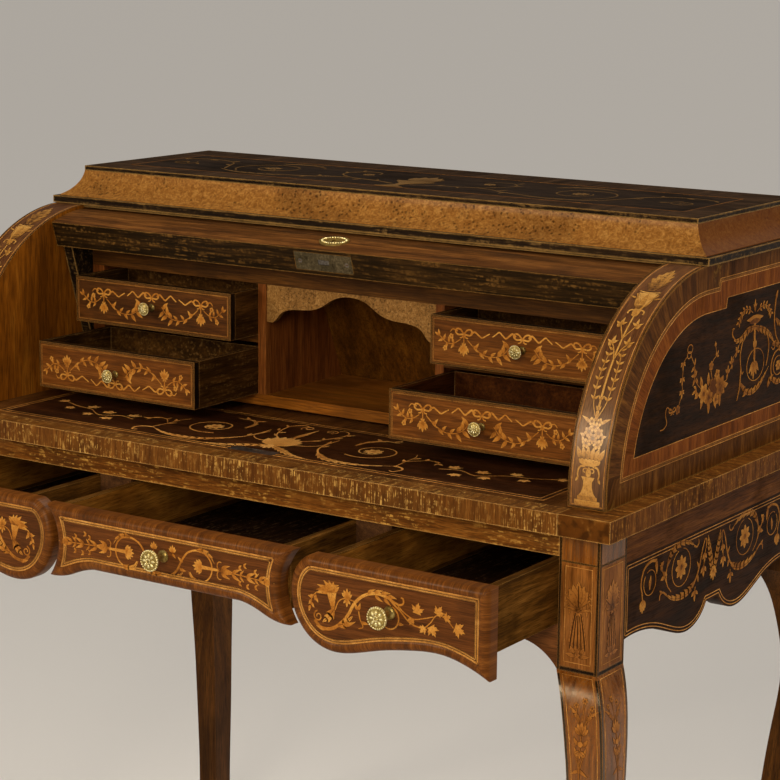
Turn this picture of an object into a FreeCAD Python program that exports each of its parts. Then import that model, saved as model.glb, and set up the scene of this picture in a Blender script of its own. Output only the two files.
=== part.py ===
import FreeCAD
import Part
import Sketcher
import os
import re

# A cylinder desk: a table on four cabriole legs with three shaped frieze drawers and a pull-out
# writing slide, and above it a quarter-round fall that turns back over a nest of four small drawers.
# The frame: X to the right, Y to the back, Z up, origin on the floor under the middle of the desk.

# Driving dimensions in millimetres, one cell each.
SIZES = {
    # Table
    "table_width": 1048,
    "table_height": 770,
    "table_edge": 25.5,
    "overhang": 24,
    "run_clear": 0.4,
    # Legs, the shares of their curve are beside the leg itself
    "post_width": 52,
    "post_depth": 62,
    "post_drop": 162,
    "knee_out": 26,
    "foot_width": 32,
    "foot_depth": 36,
    # Aprons and rails
    "apron_thickness": 22,
    "apron_setback": 2,
    "side_apron_height": 165,
    "back_apron_height": 120,
    "top_rail_height": 29.5,
    "rail_depth": 36,
    "lower_rail_height": 55,
    "lower_rail_depth": 22,
    "lower_rail_setback": 3,
    # Frieze openings and what carries the drawers
    "centre_opening": 345,
    "muntin_width": 50.5,
    "guide_thickness": 20,
    "runner_height": 10,
    "runner_overlap": 20,
    "bearer_width": 56,
    "bearer_height": 18,
    # Frieze drawers
    "front_thickness": 20,
    "front_edge_radius": 7,
    "centre_front_overlap": 12.5,
    "centre_front_height": 89,
    "side_front_overlap": 38.9,
    "side_front_height": 108,
    "drawer_gap": 4,
    "drawer_side_gap": 1.5,
    "front_post_gap": 0.4,
    "drawer_height": 75,
    "drawer_depth": 430,
    "drawer_wall": 10,
    "drawer_bottom": 6,
    "bottom_recess": 3,
    "open_left": 118,
    "open_centre": 128,
    "open_right": 130,
    # Brass knobs, the large and the small pattern
    "knob_reach": 30,
    "knob_radius": 13,
    "knob_disc": 8,
    "knob_stem_radius": 4.5,
    "knob_collar_radius": 8,
    "knob_collar": 4,
    "small_knob_reach": 20,
    "small_knob_radius": 8.5,
    "small_knob_disc": 6,
    "small_knob_stem_radius": 3,
    "small_knob_collar_radius": 5,
    "small_knob_collar": 3,
    # Writing slide
    "table_end_width": 66,
    "slide_rear_gap": 5,
    "slide_edge_depth": 30,
    "slide_side_gap": 0.6,
    # Quadrant ends and the back of the upper case
    "end_thickness": 49,
    "end_radius": 236.2,
    "end_setback": 34.3,
    "pivot_height": 12.6,
    "upper_back_setback": 11,
    "upper_back_thickness": 20,
    # Cornice
    "cornice_end_setback": 26.4,
    "cornice_recess": 19.8,
    "cornice_back_setback": 28.5,
    "cornice_fillet": 31.4,
    "cornice_fillet_height": 9.7,
    "cove_out": 25,
    "cove_lip": 1,
    "cove_height": 33.1,
    "cove_wall": 22,
    "cornice_top_height": 6.6,
    "dust_strip_height": 3,
    "dust_strip_depth": 12,
    "dust_strip_setback": 2,
    # Fall: a quarter drum on two cheeks that turn on pins in the ends
    "fall_open_degrees": 73.5,
    "fall_span_degrees": 97,
    "cheek_span_degrees": 90,
    "fall_recess": 4.2,
    "fall_back_room": 74.8,
    "fall_wall": 18,
    "fall_side_gap": 1.5,
    "fall_landing": 0.8,
    "lock_rail_wall": 35,
    "lock_rail_height": 44,
    "glue_line": 0.2,
    "cheek_thickness": 15,
    "cheek_boss_radius": 11,
    "pin_radius": 4.5,
    "pin_clear": 0.05,
    "pin_depth": 25,
    "stop_radius": 6,
    "stop_inset": 44,
    "stop_depth": 12,
    "stop_clear": 0.3,
    # Lock on the leading edge of the fall
    "lock_plate_width": 88,
    "lock_plate_depth": 24,
    "lock_plate_thickness": 1.6,
    "bolt_width": 16,
    "bolt_thickness": 6,
    "bolt_length": 24,
    "bolt_throw": 9,
    "bolt_clear": 0.4,
    "mortise_depth": 30,
    "strike_clear": 1.5,
    "strike_plate_width": 68,
    "strike_plate_front": 13,
    "strike_plate_rear": 5,
    "strike_plate_thickness": 1.5,
    "screw_radius": 3.5,
    "screw_spacing": 64,
    "escutcheon_width": 42,
    "escutcheon_height": 32,
    "escutcheon_thickness": 1.5,
    "escutcheon_degrees": 4.5,
    "keyhole_radius": 3,
    "keyhole_slot": 9,
    # Nest of drawers
    "nest_forward": 15.2,
    "nest_lift": 5,
    "nest_side_gap": 3.5,
    "nest_side": 20,
    "nest_base_thickness": 15,
    "nest_back_gap": 57,
    "nest_bearer_depth": 45,
    "nest_front_clear": 13,
    "nest_rear_clear": 5.8,
    "divider_thickness": 10,
    "partition_thickness": 12.7,
    "pigeonhole_width": 265.4,
    "nest_floor_depth": 176,
    "nest_board": 10,
    "nest_frieze_height": 28,
    "nest_frieze_thickness": 12,
    "nest_back_thickness": 8,
    "arch_drop": 50,
    "arch_thickness": 8,
    "arch_setback": 2,
    # Small drawers
    "small_head_gap": 6.7,
    "small_gap": 0.8,
    "small_front_thickness": 10,
    "small_wall": 6,
    "small_bottom": 4,
    "small_rest": 0.3,
    "small_back_gap": 3,
    "open_upper_left": 59,
    "open_upper_right": 33,
    "open_lower_left": 135,
    "open_lower_right": 124,
    # Cuts run past what they cut by this much
    "overrun": 5,
    "overrun_degrees": 2,
}

# Places that several pieces share, worked out from the sizes above.
PLACES = {
    "sweep_reach": "sqrt(end_radius ^ 2 - pivot_height ^ 2)",
    "fall_radius": "end_radius - fall_recess",
    "case_depth": "end_setback + sweep_reach + fall_radius + fall_back_room + upper_back_thickness",
    "table_depth": "case_depth + upper_back_setback + overhang",
    "front": "(open_right + knob_reach + front_thickness - overhang - table_depth) / 2",
    "back": "front + table_depth",
    "case_front": "front + overhang",
    "case_back": "back - overhang",
    "case_half": "table_width / 2 - overhang",
    "post_inner": "case_half - post_width",
    "post_front_inner": "case_front + post_depth",
    "post_back_inner": "case_back - post_depth",
    "under_table": "table_height - table_edge",
    "post_foot": "under_table - post_drop",
    "apron_face": "case_half - apron_setback",
    "apron_inner": "apron_face - apron_thickness",
    "rail_top": "under_table - run_clear",
    "rail_under": "rail_top - top_rail_height",
    "drawer_top": "rail_under - drawer_gap",
    "drawer_under": "drawer_top - drawer_height",
    "runner_top": "drawer_under - run_clear",
    "muntin_inner": "centre_opening / 2",
    "muntin_outer": "muntin_inner + muntin_width",
    "muntin_middle": "muntin_inner + muntin_width / 2",
    "centre_front_width": "2 * (muntin_inner + centre_front_overlap)",
    "side_front_width": "post_inner - front_post_gap - muntin_outer + side_front_overlap",
    "slide_width": "table_width - 2 * table_end_width",
    "pivot_y": "front + end_setback + sweep_reach",
    "pivot_z": "table_height + pivot_height",
    "end_inner": "case_half - end_thickness",
    "upper_back": "back - overhang - upper_back_setback",
    "cornice_under": "pivot_z + end_radius",
    "cove_under": "cornice_under + cornice_fillet_height",
    "cove_top": "cove_under + cove_lip + cove_height",
    "cornice_half": "case_half - cornice_end_setback",
    "cornice_y": "pivot_y + cornice_recess",
    "cornice_back": "upper_back - cornice_back_setback",
    "fall_half": "end_inner - fall_side_gap",
    "cheek_inner": "fall_half - cheek_thickness",
    "fall_inner": "fall_radius - fall_wall",
    "stop_arm": "fall_inner - stop_inset",
    "lock_rail_inner": "fall_radius - lock_rail_wall",
    "lock_rail_degrees": "asin(lock_rail_height / fall_radius) / 1 deg - lead_degrees",
    "lead_degrees": "asin((pivot_height - fall_landing) / fall_radius) / 1 deg",
    "lead_z": "table_height + fall_landing",
    "lock_y": "pivot_y - (fall_radius + lock_rail_inner) / 2",
    "slide_top": "table_height - run_clear",
    "slide_back": "nest_base_back - nest_bearer_depth - slide_rear_gap",
    "strike_floor": "lead_z + bolt_clear - bolt_throw - strike_clear",
    "nest_y": "pivot_y - nest_forward",
    "nest_half": "cheek_inner - nest_side_gap",
    "nest_base_back": "upper_back - upper_back_thickness - nest_back_gap",
    "nest_crown": "pivot_z + sqrt((lock_rail_inner - nest_front_clear) ^ 2 - nest_forward ^ 2)",
    "nest_ceiling": "nest_crown - nest_frieze_height",
    "nest_bay_height": "(nest_ceiling - nest_floor - divider_thickness) / 2",
    "nest_under": "table_height + nest_lift",
    "nest_floor": "nest_under + nest_base_thickness",
    "divider_under": "nest_floor + nest_bay_height",
    "divider_top": "divider_under + divider_thickness",
    "nest_bay_outer": "nest_half - nest_side",
    "partition_inner": "pigeonhole_width / 2",
    "partition_outer": "partition_inner + partition_thickness",
    "nest_top_rise": "nest_ceiling + nest_board - pivot_z",
    "nest_top_back": "pivot_y + sqrt((lock_rail_inner - nest_rear_clear) ^ 2 - nest_top_rise ^ 2)",
    "nest_floor_back": "nest_y + nest_floor_depth",
    "nest_lean": "(nest_floor_back - nest_top_back) / (nest_ceiling - nest_floor)",
    "small_height": "nest_bay_height - small_rest - small_head_gap",
    "upper_depth": "nest_top_back - nest_y - small_back_gap",
    "lower_depth": "nest_floor_depth - nest_lean * (small_rest + small_height) - small_back_gap",
}

# Where the fall's pins and the pegs that it rests on stand, in the side view.
PIVOT = ("pivot_y", "pivot_z")
STOP_LEAD = "asin((stop_radius + stop_clear) / stop_arm) / 1 deg"
STOP_DEGREES = f"cheek_span_degrees + fall_open_degrees + {STOP_LEAD}"
STOP = (f"pivot_y - stop_arm * cos({STOP_DEGREES})", f"pivot_z + stop_arm * sin({STOP_DEGREES})")

# The outlines below are shares of the width and the height of the piece that they shape.
# Cabriole leg from the post's foot to the floor: height, outward sweep and fullness.
LEG_SHARES = (
    (0.0, 0.0, 1.0),
    (0.055, 0.54, 0.97),
    (0.119, 0.83, 0.88),
    (0.192, 1.0, 0.74),
    (0.266, 1.0, 0.64),
    (0.364, 0.73, 0.53),
    (0.491, 0.35, 0.33),
    (0.639, 0.08, 0.18),
    (0.856, 0.0, 0.0),
    (1.0, 0.15, 0.09),
)
# Lower edge of a side apron from the middle to the post.
APRON_FLAT_SHARE = 0.07
APRON_MIDDLE_SHARE = 0.85
APRON_SHARES = ((0.17, 0.965), (0.29, 1.0), (0.43, 0.965), (0.63, 0.865), (0.86, 0.81), (1.0, 0.82))
# Lower edge of the front rail from the middle to the post.
LOWER_RAIL_FLAT_SHARE = 0.9
LOWER_RAIL_MIDDLE_SHARE = 0.47
LOWER_RAIL_SHARES = ((0.945, 0.6), (1.0, 1.0))
# Centre drawer front from the middle to one end: flat part, ogee to the tip, hollow end.
CENTRE_FLAT_SHARE = 0.59
CENTRE_MIDDLE_SHARE = 0.81
CENTRE_OGEE_SHARES = ((0.66, 0.835), (0.74, 0.89), (0.81, 0.95), (0.88, 0.99), (0.98, 1.0))
CENTRE_END_SHARES = ((0.915, 0.72), (0.9, 0.45), (0.94, 0.16), (1.0, 0.0))
# Side drawer front from its tip at the post along the lower edge and round the lobe.
SIDE_TIP_SHARE = 0.965
SIDE_TOP_SHARE = 0.1
SIDE_LOWER_SHARES = ((0.89, 0.85), (0.78, 0.79), (0.61, 0.815), (0.45, 0.89), (0.31, 0.98))
SIDE_LOBE_SHARES = ((0.225, 1.0), (0.12, 0.925), (0.037, 0.72), (0.0, 0.4), (0.03, 0.14))
SIDE_KNOB_SHARE = 0.52
CENTRE_KNOB_HEIGHT_SHARE = 0.4
SIDE_KNOB_HEIGHT_SHARE = 0.44
# Pigeonhole arch from the middle to one side, as shares of the half width and of its drop.
ARCH_MIDDLE_SHARE = 0.1
ARCH_SHARES = ((0.19, 0.2), (0.34, 0.44), (0.46, 0.55), (0.74, 0.63), (0.83, 0.74), (0.9, 0.95))
ARCH_FOOT_SHARE = 0.93
# Hollow of the cornice's cove at the middle of its height.
COVE_HOLLOW_OUT_SHARE = 0.68
COVE_HOLLOW_UP_SHARE = 0.42

WORD = re.compile(r"[a-z][a-z0-9_]*")
UP = FreeCAD.Vector(0, 0, 1)
RIGHT = FreeCAD.Vector(1, 0, 0)

document = FreeCAD.newDocument("cylinder_desk")
sheet = document.addObject("Spreadsheet::Sheet", "sizes")
for row, (name, number) in enumerate(SIZES.items(), start=1):
    sheet.set(f"A{row}", name)
    sheet.set(f"B{row}", str(number))
    sheet.setAlias(f"B{row}", name)
document.recompute()
nodes = []


def formula(text):
    """The text with its places spelled out and its sizes as cells of the sheet."""

    def spell(match):
        word = match.group()
        if word in PLACES:
            return f"({formula(PLACES[word])})"
        return f"sizes.{word}" if word in SIZES else word

    return WORD.sub(spell, text)


def size(text):
    """The value of a formula as a plain number."""
    found = sheet.evalExpression(formula(text))
    return float(getattr(found, "Value", found))


def point(x, y, z):
    return FreeCAD.Vector(size(x), size(y), size(z))


def bind(thing, **formulas):
    for name, text in formulas.items():
        thing.setExpression(name, formula(text))
    return thing


def seat(thing, x, y, z):
    """Puts a thing's own origin at a place that follows the sheet."""
    for axis, text in zip("xyz", (x, y, z)):
        thing.setExpression(f"Placement.Base.{axis}", formula(text))
    return thing


def board(x0, x1, y0, y1, z0, z1):
    box = document.addObject("Part::Box", "board")
    bind(box, Length=f"({x1}) - ({x0})", Width=f"({y1}) - ({y0})", Height=f"({z1}) - ({z0})")
    return seat(box, x0, y0, z0)


def boards_both_sides(x0, x1, y0, y1, z0, z1):
    left = board(f"-({x1})", f"-({x0})", y0, y1, z0, z1)
    return [left, board(x0, x1, y0, y1, z0, z1)]


def rod(radius, length, x, y, z, turn_axis, turn):
    """A cylinder from a place along the direction that turning the upright gives."""
    cylinder = document.addObject("Part::Cylinder", "rod")
    bind(cylinder, Radius=radius, Height=length)
    cylinder.Placement = FreeCAD.Placement(FreeCAD.Vector(), FreeCAD.Rotation(turn_axis, turn))
    return seat(cylinder, x, y, z)


def rod_along_x(radius, x0, x1, y, z):
    return rod(radius, f"({x1}) - ({x0})", x0, y, z, FreeCAD.Vector(0, 1, 0), 90)


def rod_into_end(radius, side, start, depth, y, z):
    """A rod from beside one end of the upper case into the end's inner face."""
    stop = f"end_inner + {depth}"
    if side > 0:
        return rod_along_x(radius, start, stop, y, z)
    return rod_along_x(radius, f"-({stop})", f"-({start})", y, z)


def rod_to_front(radius, length, x, y, z):
    return rod(radius, length, x, y, z, RIGHT, 90)


def sector(radius, half, start, span):
    """A wedge of a drum round the fall's pivot, from an angle above the front horizontal."""
    wedge = document.addObject("Part::Cylinder", "sector")
    bind(wedge, Radius=radius, Height=f"2 * ({half})", Angle=span)
    lift = FreeCAD.Rotation(RIGHT, -size(start))
    across = lift.multVec(FreeCAD.Vector(0, -1, 0))
    along = lift.multVec(UP)
    turn = FreeCAD.Rotation(across, along, FreeCAD.Vector(-1, 0, 0), "ZXY")
    wedge.Placement = FreeCAD.Placement(FreeCAD.Vector(), turn)
    return seat(wedge, half, "pivot_y", "pivot_z")


def cut(base, *tools):
    for tool in tools:
        remainder = document.addObject("Part::Cut", "cut")
        remainder.Base = base
        remainder.Tool = tool
        base = remainder
    return base


def fuse(*things):
    joined = document.addObject("Part::MultiFuse", "fused")
    joined.Shapes = list(things)
    return joined


def solid(shape):
    """A shape made from an outline that no primitive follows."""
    feature = document.addObject("Part::Feature", "shaped")
    feature.Shape = shape
    return feature


def node(label, *things):
    """Names one sub-part, which holds one solid or a set of equal or matching solids."""
    if len(things) == 1:
        thing = things[0]
    else:
        thing = document.addObject("Part::Compound", "set")
        thing.Links = list(things)
    thing.Label = label
    nodes.append(thing)
    return thing


def line(start, end):
    return Part.LineSegment(start, end).toShape()


def curve(points):
    spline = Part.BSplineCurve()
    spline.interpolate(points)
    return spline.toShape()


def extruded(edges, direction):
    face = Part.Face(Part.Wire(edges))
    return face.extrude(direction)


def leg(label, side, end):
    """One cabriole leg: the square post and the curve below it, sawn from the front and the side."""
    middle_x = side * (size("case_half") - size("post_width") / 2)
    case_middle = size("(case_front + case_back) / 2")
    middle_y = case_middle + end * (size("(case_back - case_front - post_depth) / 2"))
    top = size("under_table")
    foot = size("post_foot")

    def sawn(middle, outward, post, slim, place):
        edges = []
        ends = []
        for face in (-1, 1):
            points = []
            for height_share, sweep_share, full_share in LEG_SHARES:
                breadth = slim + (post - slim) * full_share
                across = middle + outward * size("knee_out") * sweep_share + face * breadth / 2
                points.append(place(across, foot * (1 - height_share)))
            shoulder = place(middle + face * post / 2, top)
            edges += [line(shoulder, points[0]), curve(points)]
            ends.append((shoulder, points[-1]))
        edges += [line(ends[0][0], ends[1][0]), line(ends[0][1], ends[1][1])]
        return Part.Wire(Part.__sortEdges__(edges))

    reach = size("post_depth + knee_out")
    from_front = sawn(
        middle_x,
        side,
        size("post_width"),
        size("foot_width"),
        lambda across, up: FreeCAD.Vector(across, middle_y - reach, up),
    )
    from_side = sawn(
        middle_y,
        end,
        size("post_depth"),
        size("foot_depth"),
        lambda across, up: FreeCAD.Vector(middle_x - reach, across, up),
    )
    one = Part.Face(from_front).extrude(FreeCAD.Vector(0, 2 * reach, 0))
    other = Part.Face(from_side).extrude(FreeCAD.Vector(2 * reach, 0, 0))
    node(label, solid(one.common(other).Solids[0]))


for end_name, end in (("front", -1), ("back", 1)):
    for side_name, side in (("left", -1), ("right", 1)):
        leg(f"{end_name}_{side_name}_leg", side, end)


def mirrored_edge(middle_place, flat_share, middle_share, shares):
    """Edges of a symmetric lower edge: flat middle and a curve to each end."""
    edges = [line(middle_place(-flat_share, middle_share), middle_place(flat_share, middle_share))]
    for hand in (-1, 1):
        points = [middle_place(hand * flat_share, middle_share)]
        points += [middle_place(hand * along, down) for along, down in shares]
        edges.append(curve(points))
    return edges


def hung_board(place, flat_share, middle_share, shares, direction):
    """A board with a straight top and a shaped lower edge."""
    end_share = shares[-1][1]
    edges = mirrored_edge(place, flat_share, middle_share, shares)
    for hand in (-1, 1):
        edges.append(line(place(hand, 0), place(hand, end_share)))
    edges.append(line(place(-1, 0), place(1, 0)))
    return extruded(Part.__sortEdges__(edges), direction)


def side_apron(label, side):
    middle = size("(post_front_inner + post_back_inner) / 2")
    half = size("(post_back_inner - post_front_inner) / 2")
    face = side * size("apron_face")
    top = size("under_table")
    height = size("side_apron_height")

    def place(along_share, down_share):
        return FreeCAD.Vector(face, middle + half * along_share, top - height * down_share)

    inward = FreeCAD.Vector(-side * size("apron_thickness"), 0, 0)
    shape = hung_board(place, APRON_FLAT_SHARE, APRON_MIDDLE_SHARE, APRON_SHARES, inward)
    node(label, solid(shape))


side_apron("left_side_apron", -1)
side_apron("right_side_apron", 1)

# The back apron and the two front rails lie between the posts.
apron_back = "case_back - apron_setback"
node(
    "back_apron",
    board(
        "-post_inner",
        "post_inner",
        f"{apron_back} - apron_thickness",
        apron_back,
        "under_table - back_apron_height",
        "under_table",
    ),
)
node(
    "front_top_rail",
    board("-post_inner", "post_inner", "case_front", "case_front + rail_depth", "rail_under", "rail_top"),
)


def front_lower_rail():
    """The rail under the drawers, cut up between the brackets beside the posts."""
    half = size("post_inner")
    face = size("case_front + lower_rail_setback")
    top = size("runner_top")
    height = size("lower_rail_height")

    def place(along_share, down_share):
        return FreeCAD.Vector(half * along_share, face, top - height * down_share)

    back = FreeCAD.Vector(0, size("lower_rail_depth"), 0)
    shape = hung_board(
        place, LOWER_RAIL_FLAT_SHARE, LOWER_RAIL_MIDDLE_SHARE, LOWER_RAIL_SHARES, back
    )
    node("front_lower_rail", solid(shape))


front_lower_rail()

# Muntins between the three openings, with a guide board behind each.
muntin_back = "case_front + lower_rail_setback + lower_rail_depth"
node(
    "drawer_partitions",
    *boards_both_sides(
        "muntin_inner",
        "muntin_outer",
        "case_front",
        muntin_back,
        "runner_top",
        "rail_under",
    ),
    *boards_both_sides(
        "muntin_middle - guide_thickness / 2",
        "muntin_middle + guide_thickness / 2",
        muntin_back,
        f"{apron_back} - apron_thickness",
        "runner_top",
        "rail_under - drawer_gap",
    ),
)

# Runners that the drawers slide on, from the lower rail to the back apron or between the posts.
node(
    "drawer_runners",
    *boards_both_sides(
        "muntin_inner - runner_overlap",
        "muntin_outer + runner_overlap",
        muntin_back,
        f"{apron_back} - apron_thickness",
        "runner_top - runner_height",
        "runner_top",
    ),
    *boards_both_sides(
        "post_inner - runner_overlap",
        "apron_inner",
        "post_front_inner",
        "post_back_inner",
        "runner_top - runner_height",
        "runner_top",
    ),
)
node(
    "slide_bearers",
    *boards_both_sides(
        "apron_inner - bearer_width",
        "apron_inner",
        "post_front_inner",
        "post_back_inner",
        "rail_top - bearer_height",
        "rail_top",
    ),
)

# Table top: two fixed ends and a board behind the writing slide.
slide_half = "slide_width / 2"
node(
    "table_ends",
    *boards_both_sides(slide_half, "table_width / 2", "front", "back", "under_table", "table_height"),
)
node(
    "table_rear_board",
    board(
        f"-{slide_half}",
        slide_half,
        "slide_back + slide_side_gap",
        "back",
        "under_table",
        "table_height",
    ),
)

# Writing slide: a panel with a lipped front edge and the mortise that takes the lock's bolt.
slide_side = f"{slide_half} - slide_side_gap"
slide_joint = "front + slide_edge_depth"
strike = board(
    "-bolt_width / 2 - bolt_clear",
    "bolt_width / 2 + bolt_clear",
    "lock_y - bolt_thickness / 2 - bolt_clear",
    "lock_y + bolt_thickness / 2 + bolt_clear",
    "strike_floor",
    "slide_top + overrun",
)
slide_board = board(
    f"-({slide_side})", slide_side, slide_joint, "slide_back", "under_table", "slide_top"
)


def strike_plate(top):
    """The plate round the mortise, let in flush with the slide."""
    return board(
        "-strike_plate_width / 2",
        "strike_plate_width / 2",
        "lock_y - strike_plate_front",
        "lock_y + strike_plate_rear",
        "slide_top - strike_plate_thickness",
        top,
    )


node("slide_panel", cut(slide_board, strike, strike_plate("slide_top + overrun")))
node("strike_plate", cut(strike_plate("slide_top"), strike))
node(
    "slide_front_edge",
    board(f"-({slide_side})", slide_side, "front", slide_joint, "under_table", "slide_top"),
)


def quadrant_end(label, side):
    """One end of the upper case: a board with a quarter-round front, bored for a pin and a stop."""
    body = document.addObject("PartDesign::Body", "end_body")
    outline = body.newObject("Sketcher::SketchObject", "end_outline")
    plane = [part for part in body.Origin.OriginFeatures if part.Role == "YZ_Plane"][0]
    outline.AttachmentSupport = (plane, [""])
    outline.MapMode = "FlatFace"
    pivot = FreeCAD.Vector(size("pivot_y"), size("pivot_z"), 0)
    low = size("table_height")
    high = size("cornice_under")
    rear = size("upper_back")
    toe = FreeCAD.Vector(size("front + end_setback"), low, 0)
    crown = FreeCAD.Vector(pivot.x, high, 0)
    rear_high = FreeCAD.Vector(rear, high, 0)
    rear_low = FreeCAD.Vector(rear, low, 0)
    circle = Part.Circle(pivot, UP, size("end_radius"))
    arc = Part.ArcOfCircle(circle, circle.parameter(crown), circle.parameter(toe))
    outline.addGeometry(arc, False)
    for start, stop in ((crown, rear_high), (rear_high, rear_low), (rear_low, toe)):
        outline.addGeometry(Part.LineSegment(start, stop), False)
    add = outline.addConstraint
    make = Sketcher.Constraint
    # The arc runs from the crown to the toe, and the three lines close it over the back.
    add(make("Tangent", 0, 1, 1, 1))
    add(make("Coincident", 1, 2, 2, 1))
    add(make("Coincident", 2, 2, 3, 1))
    add(make("Coincident", 3, 2, 0, 2))
    add(make("Horizontal", 1))
    add(make("Vertical", 2))
    add(make("Horizontal", 3))
    named = (
        ("pivot_along", make("DistanceX", -1, 1, 0, 3, pivot.x), "pivot_y"),
        ("pivot_up", make("DistanceY", -1, 1, 0, 3, pivot.y), "pivot_z"),
        ("sweep_radius", make("Radius", 0, size("end_radius")), "end_radius"),
        ("sill_height", make("DistanceY", -1, 1, 3, 2, low), "table_height"),
        ("rear_place", make("DistanceX", -1, 1, 2, 2, rear), "upper_back"),
    )
    for name, constraint, text in named:
        index = add(constraint)
        outline.renameConstraint(index, name)
        outline.setExpression(f"Constraints.{name}", formula(text))
    pad = body.newObject("PartDesign::Pad", "end_pad")
    pad.Profile = outline
    bind(pad, Length="end_thickness")
    body.Tip = pad
    start = "end_inner" if side > 0 else "-case_half"
    bind(body, **{"Placement.Base.x": start})
    pin_bore = rod_into_end("pin_radius", side, "end_inner - overrun", "pin_depth", *PIVOT)
    stop_bore = rod_into_end("stop_radius", side, "end_inner - overrun", "stop_depth", *STOP)
    node(label, cut(body, pin_bore, stop_bore))


quadrant_end("left_quadrant_end", -1)
quadrant_end("right_quadrant_end", 1)
node(
    "case_back",
    board(
        "-end_inner",
        "end_inner",
        "upper_back - upper_back_thickness",
        "upper_back",
        "table_height",
        "cornice_under",
    ),
)

# Cornice: a fillet board, four mitred cove mouldings on it, the top board and a dust strip below.
fillet_half = "cornice_half + cornice_fillet"
node(
    "cornice_base",
    board(
        f"-({fillet_half})",
        fillet_half,
        "cornice_y - cornice_fillet",
        "cornice_back + cornice_fillet",
        "cornice_under",
        "cove_under",
    ),
)
strip_front = "cornice_y - cornice_fillet + dust_strip_setback"
node(
    "dust_strip",
    board(
        "-end_inner",
        "end_inner",
        strip_front,
        f"{strip_front} + dust_strip_depth",
        "cornice_under - dust_strip_height",
        "cornice_under",
    ),
)


def cove_moulding(middle, outward, half_length):
    """One length of the cove with mitred ends, on the side of the cornice that it faces."""
    along = UP.cross(outward)
    low = size("cove_under")
    lip = low + size("cove_lip")
    top = size("cove_top")
    out = size("cove_out")
    wall = size("cove_wall")
    hollow = FreeCAD.Vector(
        out * (1 - COVE_HOLLOW_OUT_SHARE), 0, lip + size("cove_height") * COVE_HOLLOW_UP_SHARE
    )

    def place(stand_out, up, travel):
        flat = middle + outward * stand_out + along * travel
        return FreeCAD.Vector(flat.x, flat.y, up)

    reach = half_length + out
    corners = [place(s, u, -reach) for s, u in ((-wall, low), (out, low), (out, lip))]
    crest = [place(s, u, -reach) for s, u in ((0, top), (-wall, top))]
    middle_point = place(hollow.x, hollow.z, -reach)
    edges = [
        line(corners[0], corners[1]),
        line(corners[1], corners[2]),
        Part.Arc(corners[2], middle_point, crest[0]).toShape(),
        line(crest[0], crest[1]),
        line(crest[1], corners[0]),
    ]
    length = extruded(edges, along * (2 * reach))
    inner = half_length - wall
    plan = [place(out, low, -reach), place(out, low, reach), place(-wall, low, inner)]
    plan.append(place(-wall, low, -inner))
    mitre = extruded([line(a, b) for a, b in zip(plan, plan[1:] + plan[:1])], UP * (top - low))
    return solid(length.common(mitre).Solids[0])


cornice_middle = size("(cornice_y + cornice_back) / 2")
half_depth = size("(cornice_back - cornice_y) / 2")
half_width = size("cornice_half")
cove_sides = []
for outward, reach, half_length in (
    (FreeCAD.Vector(0, -1, 0), half_depth, half_width),
    (FreeCAD.Vector(0, 1, 0), half_depth, half_width),
    (FreeCAD.Vector(-1, 0, 0), half_width, half_depth),
    (FreeCAD.Vector(1, 0, 0), half_width, half_depth),
):
    middle = FreeCAD.Vector(0, cornice_middle, 0) + outward * reach
    cove_sides.append(cove_moulding(middle, outward, half_length))
node("cornice_cove", *cove_sides)
node(
    "cornice_top",
    board(
        "-cornice_half",
        "cornice_half",
        "cornice_y",
        "cornice_back",
        "cove_top",
        "cove_top + cornice_top_height",
    ),
)


def opened(thing):
    """Turns a piece of the closed fall back to where the fall stands open."""
    turn = FreeCAD.Rotation(RIGHT, -size("fall_open_degrees"))
    turned = document.addObject("Part::Compound", "opened")
    turned.Links = [thing]
    turned.Placement = FreeCAD.Placement(FreeCAD.Vector(), turn, point("0", *PIVOT))
    return turned


# Fall, laid out as it stands when closed and then turned open about its pins.
shell = cut(
    sector("fall_radius", "fall_half", "lock_rail_degrees", "fall_span_degrees - lock_rail_degrees"),
    sector(
        "fall_inner",
        "fall_half + overrun",
        "lock_rail_degrees - overrun_degrees",
        "fall_span_degrees + 2 * overrun_degrees",
    ),
)
node("fall_shell", opened(shell))
bolt_way = board(
    "-bolt_width / 2 - bolt_clear",
    "bolt_width / 2 + bolt_clear",
    "lock_y - bolt_thickness / 2 - bolt_clear",
    "lock_y + bolt_thickness / 2 + bolt_clear",
    "lead_z - overrun",
    "lead_z + mortise_depth",
)
plate_seat = board(
    "-lock_plate_width / 2",
    "lock_plate_width / 2",
    "lock_y - lock_plate_depth / 2",
    "lock_y + lock_plate_depth / 2",
    "lead_z - overrun",
    "lead_z + lock_plate_thickness",
)
below_lead = board(
    "-fall_half - overrun",
    "fall_half + overrun",
    "pivot_y - fall_radius - overrun",
    "pivot_y",
    "lead_z - fall_radius",
    "lead_z",
)
lock_rail = cut(
    sector("fall_radius", "fall_half", "-2 * lead_degrees", "lock_rail_degrees + 2 * lead_degrees"),
    sector("lock_rail_inner", "fall_half + overrun", "-90", "180"),
    below_lead,
    plate_seat,
    bolt_way,
)
node("fall_lock_rail", opened(lock_rail))


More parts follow.
